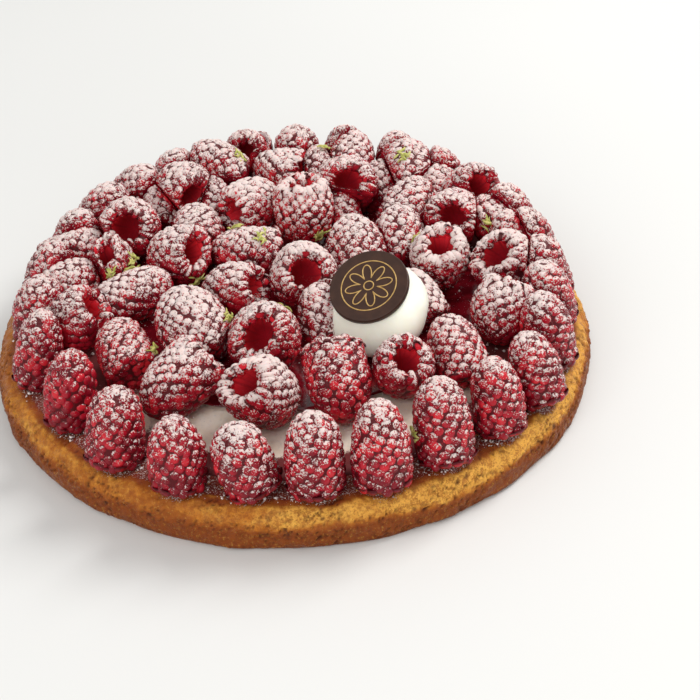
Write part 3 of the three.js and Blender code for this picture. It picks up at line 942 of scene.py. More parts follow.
def joined(forms: Sequence[Form]) -> Form:
    """Puts several forms together.

    Args:
        forms: Their points and faces.

    Returns:
        All of them as one form.
    """
    points = np.concatenate([points for points, _ in forms])
    faces: list[Face] = []
    first = 0
    for some, theirs in forms:
        faces.extend(tuple(corner + first for corner in face) for face in theirs)
        first += len(some)
    return points, faces


def faces_between(low: int, high: int, count: int, is_closed: bool = True) -> list[Face]:
    """Faces between two rows of points, from the first point of each and their count."""
    ahead = [(step, (step + 1) % count) for step in range(count if is_closed else count - 1)]
    return [(low + here, low + after, high + after, high + here) for here, after in ahead]


def turned_over(faces: Sequence[Face]) -> list[Face]:
    """The same faces, which then look the other way."""
    return [(face[0], *reversed(face[1:])) for face in faces]


def turned_skin(radii: Array, heights: Array, angles: Array) -> Form:
    """A closed turned skin from rows of radii and heights, whose first and last rows meet the axis.

    Args:
        radii: Radius at each row and angle.
        heights: Height at each row and angle.
        angles: The angles in radians.

    Returns:
        Its points and faces. The first and last point lie on the axis.
    """
    rows, count = radii.shape
    rings = np.stack([radii * np.cos(angles), radii * np.sin(angles), heights], axis=2).reshape(-1, 3)
    start = [0, 0, heights[0].mean()]
    end = [0, 0, heights[-1].mean()]
    points = np.concatenate([[start], rings, [end]])
    faces: list[Face] = []
    last = rows * count + 1
    for step in range(count):
        after = (step + 1) % count
        faces.append((0, 1 + after, 1 + step))
        faces.append((last, last - count + step, last - count + after))
    for row in range(rows - 1):
        faces += faces_between(1 + row * count, 1 + (row + 1) * count, count)
    return points, faces


def turned_section(section: Sequence[Pair], angles: Array, outward: Array | float = 0.0) -> Form:
    """Turns a section round the axis.

    Args:
        section: Rows of radius and height.
        angles: Where points lie round the axis, in radians.
        outward: How much farther out each row lies at each angle.

    Returns:
        The turned form.
    """
    rows = np.array(section, dtype=float)
    level = np.zeros((len(rows), len(angles)))
    return turned_skin(rows[:, :1] + level + outward, rows[:, 1:] + level, angles)


@dataclass
class TartPlan:
    """Main sizes of the tart in mm, and what lies where.

    Attributes:
        base_radius: Radius of the base.
        base_height: Height of its rim.
        band_height: Height of the browner band round its side.
        rim_width: Width of the rim round the cream.
        well_depth: Depth of the well that holds the cream.
        cream_rise: How far the cream stands above the rim.
        cream_edge: Width of the cream's rounded edge.
        coulis_radius: Radius of the coulis.
        coulis_place: Its middle.
        coulis_thickness: How thick it is.
        touch_gap: Gap between parts that lie on each other.
        flat_side: How much flatter one side is, as a share of the radius.
        flat_side_heading: Where that side lies, in degrees.
    """

    base_radius: float = 105
    base_height: float = 15
    band_height: float = 8.6
    rim_width: float = 17
    well_depth: float = 3
    cream_rise: float = 1.5
    cream_edge: float = 4
    coulis_radius: float = 70
    coulis_place: Pair = (-1, 13)
    coulis_thickness: float = 1
    touch_gap: float = 0.3
    flat_side: float = 0.036
    flat_side_heading: float = 5

    @property
    def well_radius(self) -> float:
        """Radius of the shallow well that holds the cream."""
        return self.base_radius - self.rim_width

    @property
    def cream_top(self) -> float:
        """Height of the cream."""
        return self.base_height + self.cream_rise

    def out_of_round(self, angle: Array) -> Array:
        """How far the outline lies inside a true circle, as a small negative share of the radius."""
        facing = np.cos(angle - math.radians(self.flat_side_heading))
        return -self.flat_side * np.maximum(0, facing) ** 3

    def seat_height(self, x: Array, y: Array) -> Array:
        """Finds what a berry rests on: coulis, cream or the base's rim.

        Args:
            x: Places along X in mm.
            y: Places along Y in mm.

        Returns:
            The height at each place.
        """
        rim = np.where(np.hypot(x, y) < self.well_radius, self.cream_top, self.base_height) + self.touch_gap
        near = np.hypot(x - self.coulis_place[0], y - self.coulis_place[1]) < self.coulis_radius
        return np.where(near, self.cream_top + self.coulis_thickness + 2 * self.touch_gap, rim)


@dataclass
class Crust:
    """The baked base, with its crags, crumb and pits. Lengths are in mm.

    Attributes:
        plan: The tart's sizes.
        bed: The berries on it.
        segments: How many points go round it.
        step: Distance between two rows of points.
        foot: How far its foot is cut in, and how high.
        shoulder: Its shoulder, from the side to the rim, as lengths inward and shares of the way up.
        dip: How far the rim drops toward the well.
        sway: Depth of its broad waves.
        crag: How far its crags stand out.
        rise: How far they rise.
        flat_rows: Radii of the rings that close the underside, as shares of the foot's.
        lumps: Its lumps.
        lump_depth: How far they stand out.
        crumb: Its crumb.
        finer: Its finer crumb.
        crumb_depth: How far the crumb stands out.
        sparse: Where pits are common and where they are rare.
        pits: Seed, spacing, size as a share of that, and depth as a share of the greatest, of each kind.
        pit_depth: Greatest depth of a pit.
        brim_radius: Radius of the toasted line outside the berries.
        brim_width: How wide it is.
        side_lighting: Headings in degrees where the rim has painted shade, or painted light below zero, and
            by how much.
    """

    plan: TartPlan
    bed: "BerryBed"
    segments: int = 1090
    step: float = 0.62
    foot: Pair = (1.6, 1.3)
    shoulder: tuple[Pair, ...] = ((0.3, 0.0), (1.6, 0.45), (3.8, 0.8), (7.4, 1.0), (12.0, 1.0))
    dip: float = 0.3
    sway: float = 0.5
    crag: float = 0.7
    rise: float = 0.35
    flat_rows: tuple[float, ...] = (0.3, 0.8, 0.97)
    lumps: Grain = Grain(3, 5.5)
    lump_depth: float = 0.32
    crumb: Grain = Grain(5, 1.6)
    finer: Grain = Grain(7, 0.9)
    crumb_depth: float = 0.24
    sparse: Grain = Grain(13, 9.0)
    pits: tuple[tuple[int, float, float, float], ...] = (
        (11, 4.2, 0.34, 1.0),
        (17, 2.2, 0.34, 0.9),
        (19, 1.4, 0.36, 0.7),
    )
    pit_depth: float = 0.85
    brim_radius: float = 98.5
    brim_width: float = 2.4
    side_lighting: tuple[Pair, ...] = ((205, 0.18), (318, -0.24))

    def _profile(self) -> list[Pair]:
        """Draws the base's section, as in its solid.

        Returns:
            Rows of radius and height, from the middle of the underside to the middle of the well.
        """
        plan = self.plan
        radius = plan.base_radius
        above = plan.base_height - plan.band_height
        well = plan.base_height - plan.well_depth
        return [
            (0, 0),
            (radius - self.foot[0], 0),
            (radius - self.shoulder[0][0], self.foot[1]),
            (radius, plan.band_height / 2),
            *[(radius - inward, plan.band_height + above * share) for inward, share in self.shoulder],
            (plan.well_radius, plan.base_height - self.dip),
            (plan.well_radius, well),
            (0, well),
        ]

    def _rows(self, angles: Array) -> tuple[Array, Array]:
        """Gives the section the solid's unevenness.

        Args:
            angles: Where points lie round the base, in radians.

        Returns:
            The radius, and the height, of each section point at each angle.
        """
        profile = self._profile()
        # Rows of the section that lie on the side, that rise and fall, and that start the flat rim.
        side, raised, rim = range(1, 8), range(3, 8), 7
        broad = round_noise((2, 3, 5), SEED + 1)
        radii, heights = [], []
        for row, (radius, height) in enumerate(profile):
            outward = self.plan.out_of_round(angles) * radius
            upward = np.zeros_like(angles)
            crags = round_noise((9 + row, 14, 19 + row, 27), SEED + 10 + row)
            if row in side:
                outward = outward + self.sway * broad(angles) + self.crag * crags(angles)
            if row in raised:
                upward = self.rise * crags(angles + 1)
            if row == rim:
                upward = np.minimum(upward, 0)
            radii.append(radius + outward)
            heights.append(height + upward)
        return np.array(radii), np.array(heights)

    def _between(self, rows: Array, shares: Array) -> Array:
        """Lays a smooth curve through rows of numbers.

        Args:
            rows: The rows.
            shares: Where to read the curve, from 0 at the first row to 1 at the last.

        Returns:
            One row for each share.
        """
        last = len(rows) - 1
        places = shares * last
        low = np.clip(np.floor(places).astype(int), 0, last - 1)
        share = (places - low)[:, None]
        before = rows[np.maximum(low - 1, 0)]
        here = rows[low]
        after = rows[low + 1]
        beyond = rows[np.minimum(low + 2, last)]
        bend = (after - before) * share + (2 * before - 5 * here + 4 * after - beyond) * share**2
        return here + 0.5 * (bend + (3 * here - before - 3 * after + beyond) * share**3)

    def form(self) -> tuple[Form, Traits]:
        """Makes the base's mesh and what it carries for its colours.

        Returns:
            Its form, and its bake with painted side light, toast, stain with painted shade, pits and dust.
        """
        angles = circle(self.segments)
        radii, heights = self._rows(angles)
        outer, well = slice(1, 10), slice(10, 11)
        section = np.array(self._profile())[outer]
        lengths = np.concatenate([[0], np.cumsum(np.linalg.norm(np.diff(section, axis=0), axis=1))])
        count = int(lengths[-1] / self.step)
        shares = np.interp(np.linspace(0, 1, count), lengths / lengths[-1], np.linspace(0, 1, len(section)))
        under = np.array(self.flat_rows)[:, None]
        side_radii = self._between(radii[outer], shares)
        side_heights = self._between(heights[outer], shares)
        all_radii = np.concatenate([under * radii[1], side_radii, radii[well], 0.5 * radii[well]])
        floor = np.zeros((len(self.flat_rows), self.segments))
        all_heights = np.concatenate([floor, side_heights, heights[well], heights[well]])
        points, faces = turned_skin(all_radii, all_heights, angles)
        return self._weathered(points, faces, count)

    def _pitted(self, side: Array, shift: Array, common: Array) -> Array:
        """Scatters pits.

        Args:
            side: Places on the base.
            shift: Small numbers that make the pits' outlines uneven.
            common: How common pits are: none at -0.3 and all at 0.35.

        Returns:
            The depth at each place, as a share of the greatest.
        """
        pit = np.zeros(len(side))
        flatter = np.array([1, 1, 1.5])
        for seed, spacing, size, share in self.pits:
            holes = Grain(seed, spacing).nearest(side * flatter + 0.25 * spacing * shift[:, None])
            depth = share * (1 - smooth_step(size * 0.3, size, holes))
            pit = np.maximum(pit, depth * smooth_step(-0.3, 0.35, common))
        return pit

    def _weathered(self, points: Array, faces: list[Face], count: int) -> tuple[Form, Traits]:
        """Adds crumb, lumps and pits to the side, the shoulder and the rim.

        Args:
            points: The smooth base's points.
            faces: Its faces.
            count: How many rows of points lie between its foot and its well.

        Returns:
            Its form, and what it carries at each point.
        """
        plan = self.plan
        first = 1 + len(self.flat_rows) * self.segments
        part = slice(first, first + count * self.segments)
        side = points[part]
        rings = side.reshape(count, self.segments, 3)
        around = np.roll(rings, -1, axis=1) - np.roll(rings, 1, axis=1)
        normal = np.cross(around, np.gradient(rings, axis=0)).reshape(-1, 3)
        normal /= lengths_of(normal)
        radius = np.hypot(side[:, 0], side[:, 1])
        height = side[:, 2]
        lumps = self.lumps.smooth(side)
        finer = self.finer.smooth(side)
        sparse = self.sparse.smooth(side)
        # The crumb is rougher, and pits are commoner, along the top of the browned band.
        edge = bell(height, plan.band_height, 2.2) * smooth_step(96, 100, radius)
        pit = self._pitted(side, finer, sparse + edge)
        rough = (1 + 1.4 * edge) * self.crumb_depth
        raised = self.lump_depth * lumps - self.pit_depth * pit
        raised += rough * (self.crumb.smooth(side) + 0.7 * finer)
        free = smooth_step(0, 1.6, height) * smooth_step(plan.well_radius, plan.well_radius + 1.5, radius)
        moved = side + normal * (raised * free)[:, None]
        moved[:, 2] = np.minimum(moved[:, 2], plan.base_height + 0.12)
        # The pit trait paints shade into the pits.
        traits = self._looks(side, lumps, sparse) | {"pit": pit * 0.85 * free}
        points[part] = moved
        carried = {}
        for name, values in traits.items():
            carried[name] = np.full(len(points), -1.0 if name == "dusted" else 0.0)
            carried[name][part] = values
        return (points, faces), carried

    def _looks(self, side: Array, lumps: Array, sparse: Array) -> Traits:
        """Works out the colours, with painted light and shade: browner down the side, toasted and stained
        by berries.

        Args:
            side: Places on the smooth base.
            lumps: Its lumps there, from -1 to 1.
            sparse: Broader unevenness there, from -1 to 1.

        Returns:
            How baked with painted side light, toasted, stained with painted shade, and dusted each place
            is.
        """
        plan = self.plan
        angle = np.arctan2(side[:, 1], side[:, 0])
        radius = np.hypot(side[:, 0], side[:, 1]) / (1 + plan.out_of_round(angle))
        height = side[:, 2]
        gap = self.bed.clearance(side)
        # The browned band ends upward in an uneven line.
        line = plan.band_height - 0.2 + 1.1 * round_noise((3, 5, 11), SEED + 80)(angle) + 1.1 * lumps
        brown = 1 - smooth_step(line - 2.2, line + 2.6, height)
        foot = 1 - smooth_step(0.5, 3.0, height)
        # Baking is uneven round the rim, with painted shade on one side and painted light on another.
        tone_and_side_lighting = 0.2 * round_noise((4, 7, 13), SEED + 81)(angle)
        for heading, depth in self.side_lighting:
            tone_and_side_lighting += depth * smooth_step(0.2, 0.9, np.cos(angle - math.radians(heading)))
        # Outside the berries runs a toasted line, and the rim between them is toasted too.
        brim = bell(radius - 0.8 * sparse, self.brim_radius, self.brim_width) * smooth_step(10, 13, height)
        between = 1 - smooth_step(96.5, 99.0, radius + 0.7 * sparse)
        return {
            "bake_and_side_lighting": 0.8 * brown + 0.35 * foot + tone_and_side_lighting * (1 - brown),
            "toast": np.maximum(1 - smooth_step(1.0, 5.5, gap), np.maximum(brim, between)),
            # The stain is juice soaked in and painted shade, near the berries and on the rim between them.
            "stain_and_shade": np.maximum(1 - smooth_step(1.0, 4.0, gap), np.maximum(0.5 * brim, 0.75 * between)),
            "dusted": 0.45 - 0.6 * smooth_step(1.5, 5.0, gap) * (1 - between) - 0.15 * between,
        }

    def build(self) -> None:
        """Makes the baked base."""
        form, traits = self.form()
        add_piece("crust", form, CrustFinish().make(), ["baked_base"], traits)


@dataclass
class Filling:
    """The cream in the base's well and the coulis on it. Lengths are in mm.

    Attributes:
        plan: The tart's sizes.
        bed: The berries on it.
        clean_unshaded_side: Heading in degrees of the side where the cream shows clean, free of painted
            shade.
        clean_unshaded_reach: Radii where the clean, unshaded cream starts to end, and ends.
        cream_rounding: The cream's edge, as shares of its width inward and of its rise.
        coulis_rounding: The coulis' edge, as lengths inward and shares of its thickness.
        wander: How far the coulis' edge strays.
        sides: How many points go round each layer.
        cream: Finish of the cream.
    """

    plan: TartPlan
    bed: "BerryBed"
    clean_unshaded_side: float = 274
    clean_unshaded_reach: Pair = (76, 81)
    cream_rounding: tuple[Pair, ...] = ((0, 0), (0.12, 0.42), (0.3, 0.7), (0.62, 0.93), (1, 1))
    coulis_rounding: tuple[Pair, ...] = ((2.5, 0), (1.8, 0.3), (1.7, 0.6), (2.2, 0.88), (3, 1))
    wander: float = 1.7
    sides: int = 240
    cream: CreamFinish = CreamFinish("set cream", (0.96, 0.84, 0.72, 1), (0.86, 0.71, 0.57, 1), 0.03)

    def _clean_and_unshaded(self, points: Array) -> Array:
        """Finds where the cream is free of juice and painted shade: in the gaps between the berries on one
        side.

        Args:
            points: Places on the cream.

        Returns:
            How clean and unshaded each place is, from 0 to 1.
        """
        facing = np.cos(np.arctan2(points[:, 1], points[:, 0]) - math.radians(self.clean_unshaded_side))
        distance = np.hypot(points[:, 0], points[:, 1])
        drift = 0.12 * Grain(24, 6).smooth(points)
        clean_and_unshaded = smooth_step(-0.6, 0.8, self.bed.clearance(points)) * smooth_step(0.3, 0.9, facing + drift)
        return clean_and_unshaded * (1 - smooth_step(*self.clean_unshaded_reach, distance + 8 * drift))

    def _cream(self) -> None:
        """Makes the cream."""
        plan = self.plan
        angles = circle(self.sides)
        radius = plan.well_radius - 0.5
        floor = plan.base_height - plan.well_depth + plan.touch_gap
        section = [(radius * 0.5, floor), (radius, floor)]
        for inward, up in self.cream_rounding:
            section.append((radius - plan.cream_edge * inward, plan.base_height + plan.cream_rise * up))
        section += [(share * radius, plan.cream_top) for share in np.linspace(0.93, 0.02, 46)]
        outward = np.outer([row[0] for row in section], plan.out_of_round(angles))
        points, faces = turned_section(section, angles, outward)
        top = points[:, 2] > plan.base_height + plan.cream_rise * 0.6
        broad, fine = Grain(21, 9), Grain(22, 2.2)
        points[top, 2] -= 0.22 * (1 + broad.smooth(points[top])) + 0.06 * fine.smooth(points[top])
        # Everywhere but the clean gaps, the cream gets juice stain and painted shade.
        stain_and_shade = {"stain_and_shade": 1 - self._clean_and_unshaded(points)}
        add_piece("cream_filling", (points, faces), self.cream.make(), ["cream_layer"], stain_and_shade)

    def _coulis(self) -> None:
        """Makes the coulis."""
        plan = self.plan
        angles = circle(self.sides)
        lower = plan.cream_top + plan.touch_gap
        upper = lower + plan.coulis_thickness
        reach = plan.coulis_radius
        section = [(reach * 0.5, lower)]
        for inward, up in self.coulis_rounding:
            section.append((reach - inward, lower + plan.coulis_thickness * up))
        section += [(share * reach, upper) for share in np.linspace(0.92, 0.02, 36)]
        wander = self.wander * round_noise((3, 5, 8, 13), SEED + 50)(angles)
        outward = np.outer([min(1, row[0] / reach) for row in section], wander)
        points, faces = turned_section(section, angles, outward)
        top = points[:, 2] > upper - 0.01
        points[top, 2] -= 0.12 * (1 + Grain(23, 7).smooth(points[top]))
        points[:, :2] += plan.coulis_place
        add_piece("coulis", (points, faces), CoulisFinish().make(), ["raspberry_coulis"])

    def build(self) -> None:
        """Makes the cream and the coulis."""
        self._cream()
        self._coulis()


@dataclass
class Berry:
    """One raspberry: where it lies, and its many drupelets.

    Attributes:
        name: Its name.
        row: Its place, direction and size.
        plan: The tart that it lies on.
        drupelet: Width of one drupelet in mm.
        packing: Share of a square drupelet's room that a round one needs among its neighbours.
        open_shape: How much an open berry narrows to its mouth, and where it is widest along its length.
        closed_shape: The same for a closed berry.
        bluntness: 2 gives an elliptical tip, more gives a blunter one.
        mouth: Radius of an open berry's mouth, as a share of the berry's.
        lip: How far its lip stands out past the mouth, as a share of its length.
        inner_wall: How far the drupelets inside the mouth draw in and go down, as shares of its size.
        hollow: Where its hollow starts and ends along it, as shares of half its length.
        rib_depth: Depth of the ribs in its hollow, as a share of the hollow's radius.
        dome_size: Radius of a drupelet, as a share of their spacing.
        seating: How much of half its height holds it off what it lies on.
        bends: Length and depth of its bends in mm.
        core_depth: How far the grooves lie below the drupelets in mm.
        give: Depth in mm over which it eases against another berry.
        dome_sides: How many sides a drupelet has.
        dome_tilts: Where its rings of points lie, in degrees from its top.
        core_sides: How many points go round the core.
        planes: What it is pressed against, each as a direction and a level along it.
    """

    name: str
    row: BerryRow
    plan: TartPlan
    drupelet: float = 3.4
    packing: float = 0.866
    open_shape: Pair = (0.45, 0.38)
    closed_shape: Pair = (0.14, 0.33)
    bluntness: float = 2.4
    mouth: float = 0.46
    lip: float = 0.045
    inner_wall: Pair = (0.04, 0.26)
    hollow: Pair = (-0.9, 0.2)
    rib_depth: float = 0.11
    dome_size: float = 0.69
    seating: float = 0.97
    bends: Pair = (8.0, 0.55)
    core_depth: float = 0.62
    give: float = 1.1
    dome_sides: int = 9
    dome_tilts: tuple[float, ...] = (26, 50, 74)
    core_sides: int = 72
    planes: list[tuple[Array, float]] = field(default_factory=list)

    def __post_init__(self) -> None:
        """Works out its pose."""
        radius, angle, heading, pitch, self.length, self.width, lift, self.is_open = self.row
        self.taper, self.shoulder = self.open_shape if self.is_open else self.closed_shape
        self.axis = direction_of(heading, pitch)
        self.turn = turn_toward(self.axis)
        rise = math.radians(pitch)
        half_height = math.hypot(self.length / 2 * math.sin(rise), self.width / 2 * math.cos(rise))
        x = radius * math.cos(math.radians(angle))
        y = radius * math.sin(math.radians(angle))
        z = float(self.plan.seat_height(np.array(x), np.array(y))) + half_height * self.seating + lift
        self.middle = np.array([x, y, z])
        self.squeeze = self.turn @ np.diag([2 / self.width, 2 / self.width, 2 / self.length])

    def support(self, direction: Array) -> float:
        """How far the berry reaches from its middle in a direction."""
        along = float(direction @ self.axis)
        return math.hypot(along * self.length / 2, math.sqrt(max(0, 1 - along**2)) * self.width / 2)

    def outline(self, along: Array) -> Array:
        """Draws how its radius changes along it.

        Args:
            along: Places from its mouth (0) to its tip (1).

        Returns:
            The radius at each, as a share of its largest.
        """
        below = np.clip((self.shoulder - along) / self.shoulder, 0, 1)
        above = np.clip((along - self.shoulder) / (1 - self.shoulder), 0, 1)
        return np.sqrt(np.clip(1 - self.taper * below**2 - above**self.bluntness, 0, 1))

    def surface(self, direction: Array) -> Array:
        """Finds the place on its outline toward a direction from its middle.

        Args:
            direction: The direction.

        Returns:
            The place.
        """
        rise = float(direction @ self.axis)
        reach = np.linspace(0, self.length, 600)
        along = 0.5 + reach * rise / self.length
        across = reach * math.sqrt(max(0, 1 - rise**2))
        within = (along > 0) & (along < 1) & (across < self.width / 2 * self.outline(along))
        return self.middle + direction * reach[within].max()

    def _path(self) -> Array:
        """Draws its outline from the tip over the skin, and into its mouth if that is open.

        Returns:
            Rows of radius and height along its axis, and how far inside the mouth they lie, from 0 to 1.
        """
        half = self.length / 2
        radius = self.width / 2
        along = 1 - (1 - np.cos(np.linspace(0, math.pi / 2, 60))) * 0.95
        outside = np.stack([self.outline(along) * radius, half * (2 * along - 1)], axis=1)
        edge = outside[-1]
        inner = self.mouth * radius if self.is_open else -edge[0]
        sweep = np.linspace(0, math.pi if self.is_open else math.pi / 2, 24)[1:]
        centre = (edge[0] + inner) / 2
        lip_radii = centre + (edge[0] - centre) * np.cos(sweep)
        lip = np.stack([lip_radii, edge[1] - self.lip * self.length * np.sin(sweep)], axis=1)
        rows = np.concatenate([outside, lip])
        inside = np.zeros(len(rows))
        if self.is_open:
            deeper = np.linspace(0, 1, 8)[1:]
            narrow, down = self.inner_wall
            wall_radii = radius * (self.mouth - narrow * deeper)
            wall = np.stack([wall_radii, edge[1] + down * half * deeper], axis=1)
            rows = np.concatenate([rows, wall])
            inside = np.concatenate([inside, 0.35 + 0.65 * deeper])
        return np.column_stack([rows, inside])

    def _drupelets(self, random: np.random.Generator) -> tuple[Array, Array, Array, float]:
        """Finds where its drupelets lie.

        Args:
            random: Source of their unevenness.

        Returns:
            Their places, their outward directions, how far inside the mouth they lie and their spacing.
        """
        path = self._path()
        steps = np.diff(path[:, :2], axis=0)
        lengths = np.linalg.norm(steps, axis=1)
        middles = (path[1:] + path[:-1]) / 2
        area = np.concatenate([[0], np.cumsum(2 * math.pi * middles[:, 0] * lengths)])
        count = int(area[-1] / (self.packing * self.drupelet**2))
        wanted = (np.arange(count) + 0.5 + random.uniform(-0.3, 0.3, count)) / count * area[-1]
        radii, heights, inside = (np.interp(wanted, area, column) for column in path.T)
        outward = np.stack([-steps[:, 1], steps[:, 0]], axis=1) / lengths[:, None]
        between = (area[1:] + area[:-1]) / 2
        lean = np.stack([np.interp(wanted, between, column) for column in outward.T], axis=1)
        angle = np.arange(count) * GOLDEN_ANGLE + random.uniform(0, 2 * math.pi)
        angle = angle + random.normal(0, 0.16, count) * self.drupelet / np.maximum(radii, 2)
        around = np.stack([np.cos(angle), np.sin(angle)], axis=1)
        places = np.column_stack([radii[:, None] * around, heights])
        normals = np.column_stack([lean[:, :1] * around, lean[:, 1]])
        normals /= lengths_of(normals)
        return places, normals, inside, math.sqrt(area[-1] / count / self.packing)

    def _dome(self) -> tuple[Array, list[Face]]:
        """Draws one drupelet of radius 1, with its top first.

        Returns:
            Its points and faces.
        """
        sides = self.dome_sides
        rings = [
            (math.sin(tilt) * math.cos(turn), math.sin(tilt) * math.sin(turn), math.cos(tilt))
            for tilt in np.radians(self.dome_tilts)
            for turn in circle(sides)
        ]
        faces: list[Face] = [(0, 1 + step, 1 + (step + 1) % sides) for step in range(sides)]
        for low in range(1, 1 + sides * (len(self.dome_tilts) - 1), sides):
            faces += turned_over(faces_between(low, low + sides, sides))
        return np.array([(0.0, 0.0, 1.0), *rings]), faces

    def _domes(self, random: np.random.Generator) -> tuple[Form, Traits]:
        """Makes its drupelets as round domes, longer toward the mouth and flatter inside it.

        Args:
            random: Source of their unevenness.

        Returns:
            Their form and what they carry.
        """
        places, normals, inside, spacing = self._drupelets(random)
        dome, faces = self._dome()
        count = len(places)
        size = spacing * self.dome_size * random.uniform(0.88, 1.1, count)
        side = np.column_stack([-places[:, 1], places[:, 0], np.zeros(count)])
        side /= lengths_of(side)
        other = np.cross(normals, side)
        mouth = self.is_open * smooth_step(-0.55, -0.95, places[:, 2] / (self.length / 2))
        stretch = random.uniform(0.9, 1.1, count) * (1 + 0.3 * mouth)
        tall = 1 - 0.6 * inside
        centres = places - normals * (size * 0.98 * tall)[:, None]
        local = (
            dome[None, :, :1] * side[:, None] / stretch[:, None, None]
            + dome[None, :, 1:2] * other[:, None] * stretch[:, None, None]
            + dome[None, :, 2:] * normals[:, None] * tall[:, None, None]
        )
        points = (centres[:, None] + local * size[:, None, None]).reshape(-1, 3)
        corners = len(dome)
        # Inside the hollow and round the mouth the crest is raised, which lightens the painted groove shade
        # there.
        lit = np.repeat(np.maximum(0.55 * inside, 0.35 * mouth), corners)
        traits = {
            "crest": lit + (1 - lit) * np.tile(dome[:, 2], count),
            "tone_and_foot_shade": np.repeat(random.uniform(0, 1, count), corners),
            "rise": np.repeat((normals @ self.turn.T)[:, 2] + random.normal(0, 0.28, count), corners),
            "inside": np.repeat(inside, corners),
            "deep": np.zeros(count * corners),
            "rib": np.zeros(count * corners),
        }
        starts = range(0, count * corners, corners)
        all_faces = [tuple(corner + start for corner in face) for start in starts for face in faces]
        return (points, all_faces), traits

    def _core(self) -> tuple[Form, Traits]:
        """Makes what lies between the drupelets, with the ribbed and tapering hollow inside its mouth.

        Returns:
            Its form and what it carries.
        """
        half = self.length / 2
        radius = self.width / 2
        skin = self._path()[::5]
        skin = skin[skin[:, 2] == 0, :2] * [1 - self.core_depth / radius, 1 - self.core_depth / half]
        rows = [(across, up, 0.0, 0.0) for across, up in skin]
        if self.is_open:
            start, end = self.hollow
            for share in np.linspace(0, 1, 12):
                narrow = (self.mouth + 0.05) * math.cos(share * math.pi / 2) ** 0.6
                # Deeper rows of the hollow get more painted shade.
                depth = smooth_step(0.1, 0.75, share)
                rows.append((narrow * radius, half * (start + (end - start) * share), 1.0, depth))
        across, up, inside, deep = np.array(rows, dtype=float).T[:, :, None]
        angles = circle(self.core_sides)
        # The ribs run down the hollow and fade toward its bottom. The grooves between them get painted
        # shade.
        ribs = 0.6 * np.cos(17 * angles) + 0.4 * np.cos(7 * angles + self.row[1])
        radii = np.maximum(across, 0.02) * (1 + self.rib_depth * inside * (1 - deep) * ribs)
        level = 0 * angles
        points, faces = turned_skin(radii, up + level, angles)
        carried = {name: np.full(len(points), value) for name, value in CORE_TRAITS.items()}
        varied = {"inside": inside + level, "deep": deep + level, "rib": inside * np.maximum(0, ribs)}
        for name, values in varied.items():
            end = 0 if name == "rib" else values[-1, 0]
            carried[name] = np.concatenate([[0], values.ravel(), [end]])
        return (points, faces), carried

    def _pinched(self, points: Array, random: np.random.Generator) -> Array:
        """Squeezes the mouth of an open berry into an uneven oval.

        Args:
            points: Its points along its own axis.
            random: Source of the oval's direction and depth.

        Returns:
            The points moved.
        """
        lean = random.uniform(0, math.pi)
        squeeze = random.uniform(0.05, 0.3)
        long_way = np.array([math.cos(lean), math.sin(lean), 0])
        short_way = np.array([-math.sin(lean), math.cos(lean), 0])
        pull = squeeze * (0.3 * np.outer(long_way, long_way) - np.outer(short_way, short_way))
        near = smooth_step(0.2, 1.0, -points[:, 2] / (self.length / 2))
        return points + near[:, None] * (points @ pull)

    def form(self, random: np.random.Generator) -> tuple[Form, Traits]:
        """Makes the whole berry in the tart's frame.

        Args:
            random: Source of its small differences.

        Returns:
            Its form and what it carries at each point.
        """
        domes, dome_traits = self._domes(random)
        core, core_traits = self._core()
        points, faces = joined([domes, core])
        traits = {name: np.concatenate([dome_traits[name], core_traits[name]]) for name in dome_traits}
        if self.is_open:
            points = self._pinched(points, random)
        points += uneven(points, int(random.integers(1, 9999)), *self.bends)
        points = points @ self.turn.T + self.middle
        sunk = np.where(np.arange(len(points)) < len(domes[0]), 0, self.core_depth)
        for normal, level in self.planes:
            past = np.maximum(0, points @ normal - (level - sunk - self.give))
            eased = self.give * (1 - np.exp(-past / self.give))
            points = points - (past - eased)[:, None] * normal
        floor = self.plan.seat_height(points[:, 0], points[:, 1])
        points[:, 2] = np.maximum(points[:, 2], floor)
        # Painted shade darkens the skin toward its foot; groove shade fades where it meets what it lies on.
        above = points[:, 2] - floor
        traits["tone_and_foot_shade"] = traits["tone_and_foot_shade"] - 0.85 * smooth_step(13, 3, above)
        traits["crest"] = np.maximum(traits["crest"], 0.7 * smooth_step(1.5, 0.5, above))
        return (points, faces), traits


